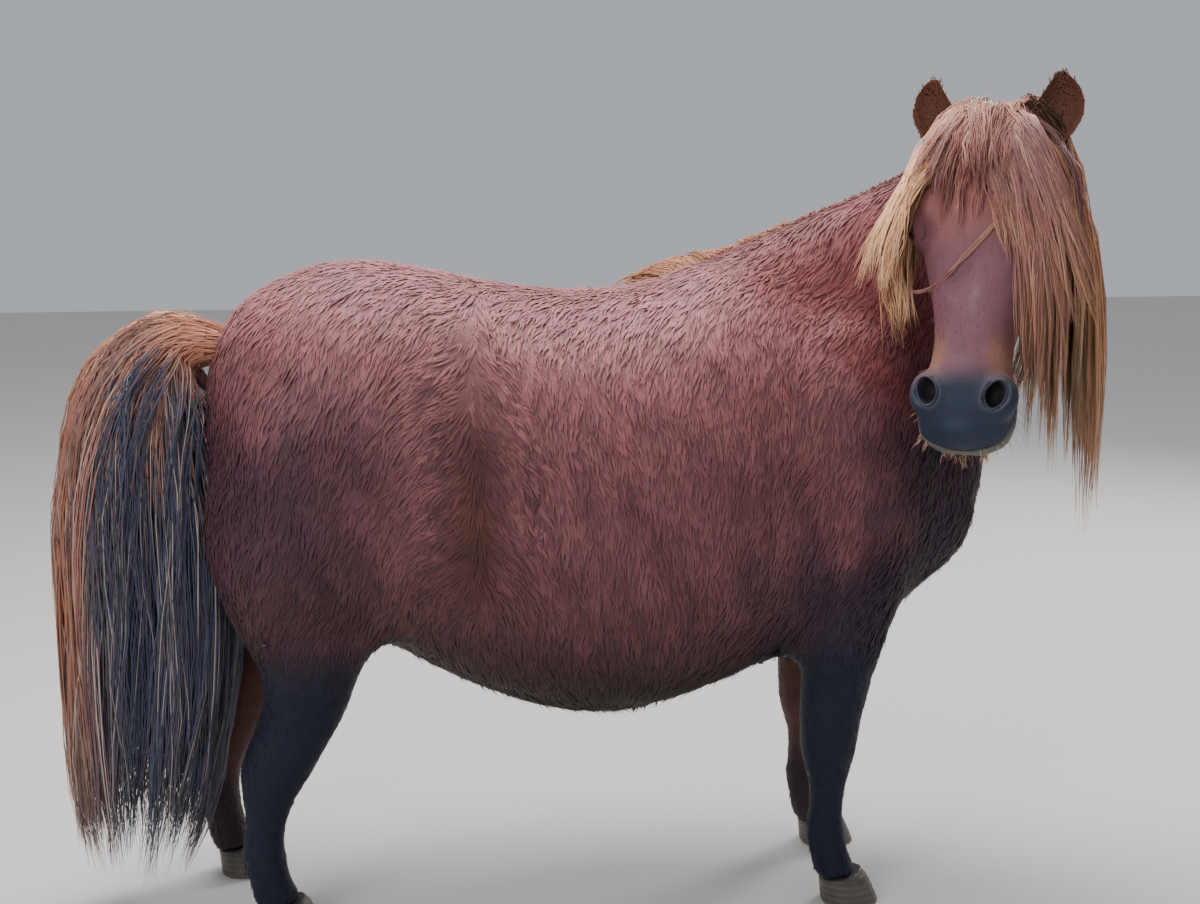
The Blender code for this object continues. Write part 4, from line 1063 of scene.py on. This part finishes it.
def make_mane():
    rng = np.random.default_rng(21)
    made, guides = [], 84
    for i in range(guides):
        share = min((0.005 + 0.985 * (i + 0.5) / guides) ** 0.85, 0.995)
        place, ahead, leftward = crest_point(share)
        layer = (i % 4) / 3
        lift = 0.006 + 0.010 * layer + (0.030 * layer + 0.006) * max(0.0, (share - 0.5) / 0.5) ** 1.2
        length = mane_length(share) * (0.76 + 0.16 * layer + rng.uniform(-0.06, 0.08))
        heading = leftward + Z * (0.7 + 0.4 * layer) + ahead * rng.uniform(-0.15, 0.25)
        path, outs = combed(place - Z * 0.012, heading, length, lift, 0.40)
        pale = rng.random()
        middle = np.array((0.42, 0.165, 0.080)) * (0.6 + 0.6 * layer)
        tip = np.array((0.68, 0.39, 0.21)) * pale + np.array((0.32, 0.125, 0.060)) * (1 - pale)
        stops = ((0.0, (0.50, 0.22, 0.13)), (0.4, middle), (1.0, tip))
        made.append(strands(path, outs, int(50 * THIN), 0.016 + 0.014 * min(1.0, length / 0.5), 0.012, 0.00080,
                            stops, rng, (0.05 + 0.9 * share, 0.5), (0.02, 0.8)))
    for i in range(16):
        layer = (i % 4) / 3
        root = head_point(rng.uniform(-0.035, -0.005), 0.028 + 0.030 * i / 15, -0.020)
        heading = HEAD_LEFT + FACING * rng.uniform(-0.4, 0.2) + Z * (0.35 + 0.3 * layer)
        path, outs = combed(root, heading, rng.uniform(0.38, 0.54), 0.010 + 0.016 * layer, 0.42, 14)
        stops = ((0.0, (0.55, 0.26, 0.17)), (0.5, (0.42, 0.175, 0.09)), (1.0, (0.66, 0.42, 0.24)))
        made.append(strands(path, outs, int(50 * THIN), 0.026, 0.012, 0.00080, stops, rng, (0.95, 0.5), (0.05, 0.8)))
    hair_pieces("mane", made, long_hair, "hair", ("mane",), 2)


def make_forelock():
    """A sweep over the left of the face, a bunch beside the right eye, a short fringe and a fluffy crown."""
    rng = np.random.default_rng(22)
    mauve = ((0.0, (0.34, 0.15, 0.13)), (0.12, (0.34, 0.16, 0.145)), (0.3, (0.22, 0.095, 0.095)), (0.6, (0.26, 0.100, 0.085)),
             (1.0, (0.48, 0.24, 0.15)))
    golden = ((0.0, (0.52, 0.23, 0.15)), (0.3, (0.72, 0.36, 0.20)), (1.0, (0.88, 0.49, 0.28)))
    russet = ((0.0, (0.45, 0.175, 0.150)), (1.0, (0.34, 0.120, 0.112)))
    peach = ((0.0, (0.42, 0.18, 0.14)), (0.3, (0.56, 0.27, 0.20)), (0.65, (0.38, 0.160, 0.135)),
             (1.0, (0.28, 0.110, 0.095)))
    sheaves = ((30, -0.14, 0.45, 0.22, 0.39, 0.008, 0.75, mauve, 0.012, 0.27, 0.36),
               (18, 0.45, 1.10, 0.36, 0.50, 0.012, 0.80, mauve, 0.017, 0.0, 0.42),
               (15, -1.30, -0.80, 0.26, 0.38, 0.010, 0.50, golden, 0.024, 0.0, 0.46),
               (10, -0.50, 0.00, 0.10, 0.19, 0.004, 0.60, russet, 0.012, 0.0, 0.40),
               (34, -0.75, 0.85, 0.12, 0.19, 0.032, 1.90, peach, 0.016, 0.0, 0.38))
    made = []
    for kind, (count, low, high, short, long, lift, rise, stops, reach, drift, weight) in enumerate(sheaves):
        for i in range(count):
            share = (i + 0.5) / count
            heading = low + (high - low) * share
            root = head_point(rng.uniform(-0.022, 0.012), 0.036 * max(-1.0, min(1.0, heading * 1.4)), -0.010)
            ahead = (1.0, 1.0, 0.45, 1.0, (0.9, -0.5, 0.5)[i % 3])[kind]
            way = FACING * ahead + HEAD_LEFT * heading + Z * (rise + 0.3 * rng.random())
            reach_down = 0.3 * rng.random() + 0.7 * share if kind == 0 else rng.random()
            path, outs = combed(root, way, short + (long - short) * reach_down,
                                lift + (0.026 if kind == 2 else 0.008) * (i % 3) / 2,
                                weight, 12, HEAD_LEFT * drift * rng.uniform(0.8, 1.3))
            tone = rng.uniform(0.85, 1.15)
            toned = [(at, tuple(tone * c for c in colour)) for at, colour in stops]
            made.append(strands(path, outs, int((56 if kind < 3 else 34) * THIN), reach, 0.006, 0.00072, toned, rng,
                                (0.1 + 0.8 * share, (kind + 0.5) / 5), (0.04, 0.16), (0.9, 1.0, 2.0, 0.8, 0.8)[kind], tip_reach=1.0 if kind == 2 else 0.6))
    stray = [(0.130, 0.052), (0.170, 0.022), (0.205, -0.008), (0.222, -0.024), (0.234, -0.040), (0.244, -0.060),
             (0.251, -0.082), (0.250, -0.098), (0.236, -0.102)]
    path, outs = [], []
    for along, left in stray:
        near, normal, _, _ = earless_tree.find_nearest(head_point(along, left, 0.03))
        path.append(near + normal * 0.006 if left > -0.05 else head_point(along, left, -0.036))
        outs.append(normal if left > -0.05 else BROW)
    made.append(strands(path, outs, 16, 0.0035, 0.002, 0.0006, peach, rng, (0.5, 0.95), (0.3, 0.05), 0.4))
    hair_pieces("forelock", made, long_hair, "hair", ("forelock",), 1)


TAIL_LINE = [Vector(p) + SHIFT for p in ((-0.555, 0, 0.865), (-0.632, 0, 0.872), (-0.682, 0, 0.800), (-0.700, 0, 0.670),
                                         (-0.703, 0, 0.520), (-0.704, 0, 0.380), (-0.710, 0, 0.230),
                                         (-0.716, 0, 0.120), (-0.718, 0, 0.025))]
TAIL_WIDTH = ((0.0, 0.028), (0.15, 0.050), (0.35, 0.088), (0.60, 0.100), (0.80, 0.092), (0.93, 0.075), (1.0, 0.060))
TAIL_DEPTH = ((0.0, 0.025), (0.15, 0.050), (0.35, 0.098), (0.60, 0.108), (0.80, 0.094), (0.93, 0.075), (1.0, 0.055))


def tail_ring(share):
    ahead = (smooth_path(TAIL_LINE, min(share + 0.04, 1)) - smooth_path(TAIL_LINE, max(share - 0.04, 0))).normalized()
    return smooth_path(TAIL_LINE, share), ahead, smooth_through(TAIL_WIDTH, share), smooth_through(TAIL_DEPTH, share)


def make_tail():
    rng = np.random.default_rng(23)
    made = []
    tiers = ((34, 0.0, 0.06, 0.98, 0.92), (26, 0.5, 0.12, 0.93, 0.72), (16, 0.25, 0.02, 0.66, 0.98),
             (12, 0.1, 0.10, 0.85, 0.35))
    for count, first, start, finish, room in tiers:
        for i in range(count):
            angle = 2 * math.pi * (i + first) / count + rng.uniform(-0.08, 0.08)
            begin, end = start + rng.uniform(-0.02, 0.04), finish + rng.uniform(-0.10, 0.0)
            path, outs = [], []
            for k in range(14):
                share = begin + (end - begin) * k / 13
                place, ahead, width, depth = tail_ring(share)
                up = Y.cross(ahead)
                spread = 0.45 + (room - 0.45) * min(1.0, k / 5) * (1 - 0.10 * (k / 13) ** 3)
                fore = 1.30 + 0.50 * (1 - k / 13) if math.sin(angle) < 0 else 1.0
                path.append(place + (Y * math.cos(angle) * width + up * math.sin(angle) * depth * fore) * spread)
                outs.append((Y * math.cos(angle) + up * math.sin(angle)).normalized())
            rear = step_up(np.float64(math.sin(angle)), 0.30, 0.85)
            black, russet = np.array((0.058, 0.064, 0.105)), np.array((0.34, 0.135, 0.085))
            middle = black + (russet - black) * rear
            low = black + (np.array((0.17, 0.088, 0.060)) - black) * (0.35 * rear + 0.4 * rng.random())
            stops = ((0.0, (0.80, 0.36, 0.24)), (0.12, (0.74, 0.32, 0.21)), (0.24, (0.60, 0.28, 0.19)),
                     (0.36, middle), (0.7, middle), (1.0, low))
            made.append(strands(path, outs, int(41 * THIN), 0.026, 0.012, 0.00085, stops, rng,
                                (0.05 + 0.9 * i / count, 0.5), (0.03, 0.8), 2.6, 0.8, stations=11,
                                light=(0.16, (0.44, 0.36, 0.32))))
    hair_pieces("tail", made, long_hair, "tail_hair", ("tail",), 2)


def make_whiskers():
    """A sparse beard under the chin and feelers round the lips and nostrils."""
    rng = np.random.default_rng(24)
    made = []
    ginger = ((0.0, (0.40, 0.20, 0.12)), (1.0, (0.72, 0.46, 0.30)))
    for along, left in ((0.395, -0.016), (0.405, 0.018), (0.425, -0.004), (0.440, -0.022), (0.445, 0.020),
                        (0.380, 0.030), (0.370, -0.030), (0.350, 0.0), (0.455, 0.0), (0.415, 0.034), (0.415, -0.036)):
        root = head_point(along, left, -0.116)
        near, normal, _, _ = skin_tree.find_nearest(root)
        reach = 0.036 if along > 0.39 else 0.030
        way = (-Z + NOSEWARD * 0.15 + HEAD_LEFT * left * 6).normalized()
        path = [near - normal * 0.002 + way * reach * k / 6 - FACING * 0.004 * (k / 6) ** 2 for k in range(7)]
        made.append(strands(path, [FACING] * 7, int(20 * THIN), 0.016, 0.010, 0.00032, ginger, rng,
                            (0.5, along), (0.6, 0.1), 0.5, 0.30, 0.9))
    for k in range(110):
        side = 1 if k % 2 else -1
        root = head_point(rng.uniform(0.36, 0.46), side * rng.uniform(0.02, 0.07), rng.uniform(-0.12, -0.055))
        near, normal, _, _ = skin_tree.find_nearest(root)
        if (near - nostril_frame(side)[0]).length < 0.030:
            continue
        length = rng.uniform(0.010, 0.022)
        way = (normal + NOSEWARD * 0.25 - Z * 0.2).normalized()
        path = [near + way * length * i / 6 - Z * 0.25 * length * (i / 6) ** 2 for i in range(7)]
        made.append(strands(path, [NOSEWARD] * 7, 1, 0.0005, 0.0005, 0.00032, ginger, rng, (0.5, 0.5), (0.9, 0.9), 0.1,
                            0.9))
    hair_pieces("whiskers", made, long_hair, "hair", (), 1)


make_mane()
make_forelock()
make_tail()
make_whiskers()


# %% [markdown]
# ## Eyes
# A horse's eye is dark and wet, with a brown iris and a long level pupil. It is a ball of its own behind
# the lids, so that it shines while the lids don't. The colours sit in rings round the way it looks, and a
# clear coat gives the glint.

# %% Eyes
def make_eye(name, side):
    """A dark glossy ball with a brown iris and a long level pupil."""
    middle, look, length, height = eye_frame(side)
    eye = ball(name.replace("eye", "eyeball"), middle, EYE_RADIUS - 0.0002)
    away = (corners_of(eye.data) - np.array(middle)) / EYE_RADIUS
    front = away @ np.array(look) > 0
    a, b = away @ np.array(length), away @ np.array(height)
    round_it = np.hypot(a, b)
    colours = np.tile(np.array((0.030, 0.018, 0.015)), (len(away), 1))
    colours = blend(colours, (0.085, 0.036, 0.014), step_up(-round_it, -0.66, -0.60) * front)
    colours = blend(colours, (0.012, 0.007, 0.005), step_up(round_it, 0.54, 0.62) * step_up(-round_it, -0.70, -0.64) * front)
    colours = blend(colours, (0.003, 0.004, 0.006), step_up(-np.hypot(a / 0.42, b / 0.20), -1.1, -0.9) * front)
    paint(eye.data, colours)
    for face in eye.data.polygons:
        face.use_smooth = True
    return dress(eye, eye_material, "eye", name)


eye_material = surface("eye", 0.12, mottle=0.05, coat=1.0, specular=0.6)
make_eye("eye_left", 1)
make_eye("eye_right", -1)


# %% [markdown]
# ## Hooves
# Horn grows down from the coronet in faint rings. The hoof is melted from its solid to round the edges, its
# wall is moved in and out by a fraction of a millimetre along the rings, and its shoulder is drawn in under
# the hair of the pastern. It is dark at the top and paler at the ground, where it wears.

# %% Hooves
def make_hoof(name):
    """Horn with growth rings, a little wavy, dark at the coronet."""
    hoof = merged(name.replace("hoof", "horn"), [name])
    low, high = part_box(name)
    remesh(hoof, 0.0022, 3)
    places, outs = corners_of(hoof.data), normals_of(hoof.data)
    level = np.clip((places[:, 2] - low.z) / (high.z - low.z), 0, 1)
    sideways = outs.copy()
    sideways[:, 2] = 0
    rings = 0.00035 * np.sin(level * 34 + 1.2 * ripple(places, 0.05, 9)) * step_up(level, 0.06, 0.16)
    places += sideways * rings[:, None]
    places[:, 2] = low.z + (places[:, 2] - places[:, 2].min()) * (high.z - low.z) / np.ptp(places[:, 2])
    top = places[level > 0.9, :2].mean(axis=0)
    places[:, :2] += (top - places[:, :2]) * (0.26 * step_up(level, 0.78, 0.98))[:, None]
    put_corners(hoof.data, places)
    colours = np.tile(np.array((0.075, 0.066, 0.060)), (len(places), 1))
    colours = blend(colours, (0.026, 0.022, 0.022), 0.8 * step_up(level, 0.55, 0.95))
    colours = blend(colours, (0.150, 0.125, 0.100), 0.6 * step_up(-level, -0.14, -0.02))
    colours *= (1 + 0.16 * np.sin(level * 34) + 0.12 * ripple(places * (1, 1, 0.15), 0.012, 10))[:, None]
    paint(hoof.data, np.clip(colours, 0, 1))
    return dress(hoof, horn_material, "hoof", name)


horn_material = surface("horn", 0.5, bump=0.35, bump_scale=300.0, stretch=(1, 1, 0.2), mottle=0.08)
for name in ("hoof_fore_left", "hoof_fore_right", "hoof_hind_left", "hoof_hind_right"):
    make_hoof(name)
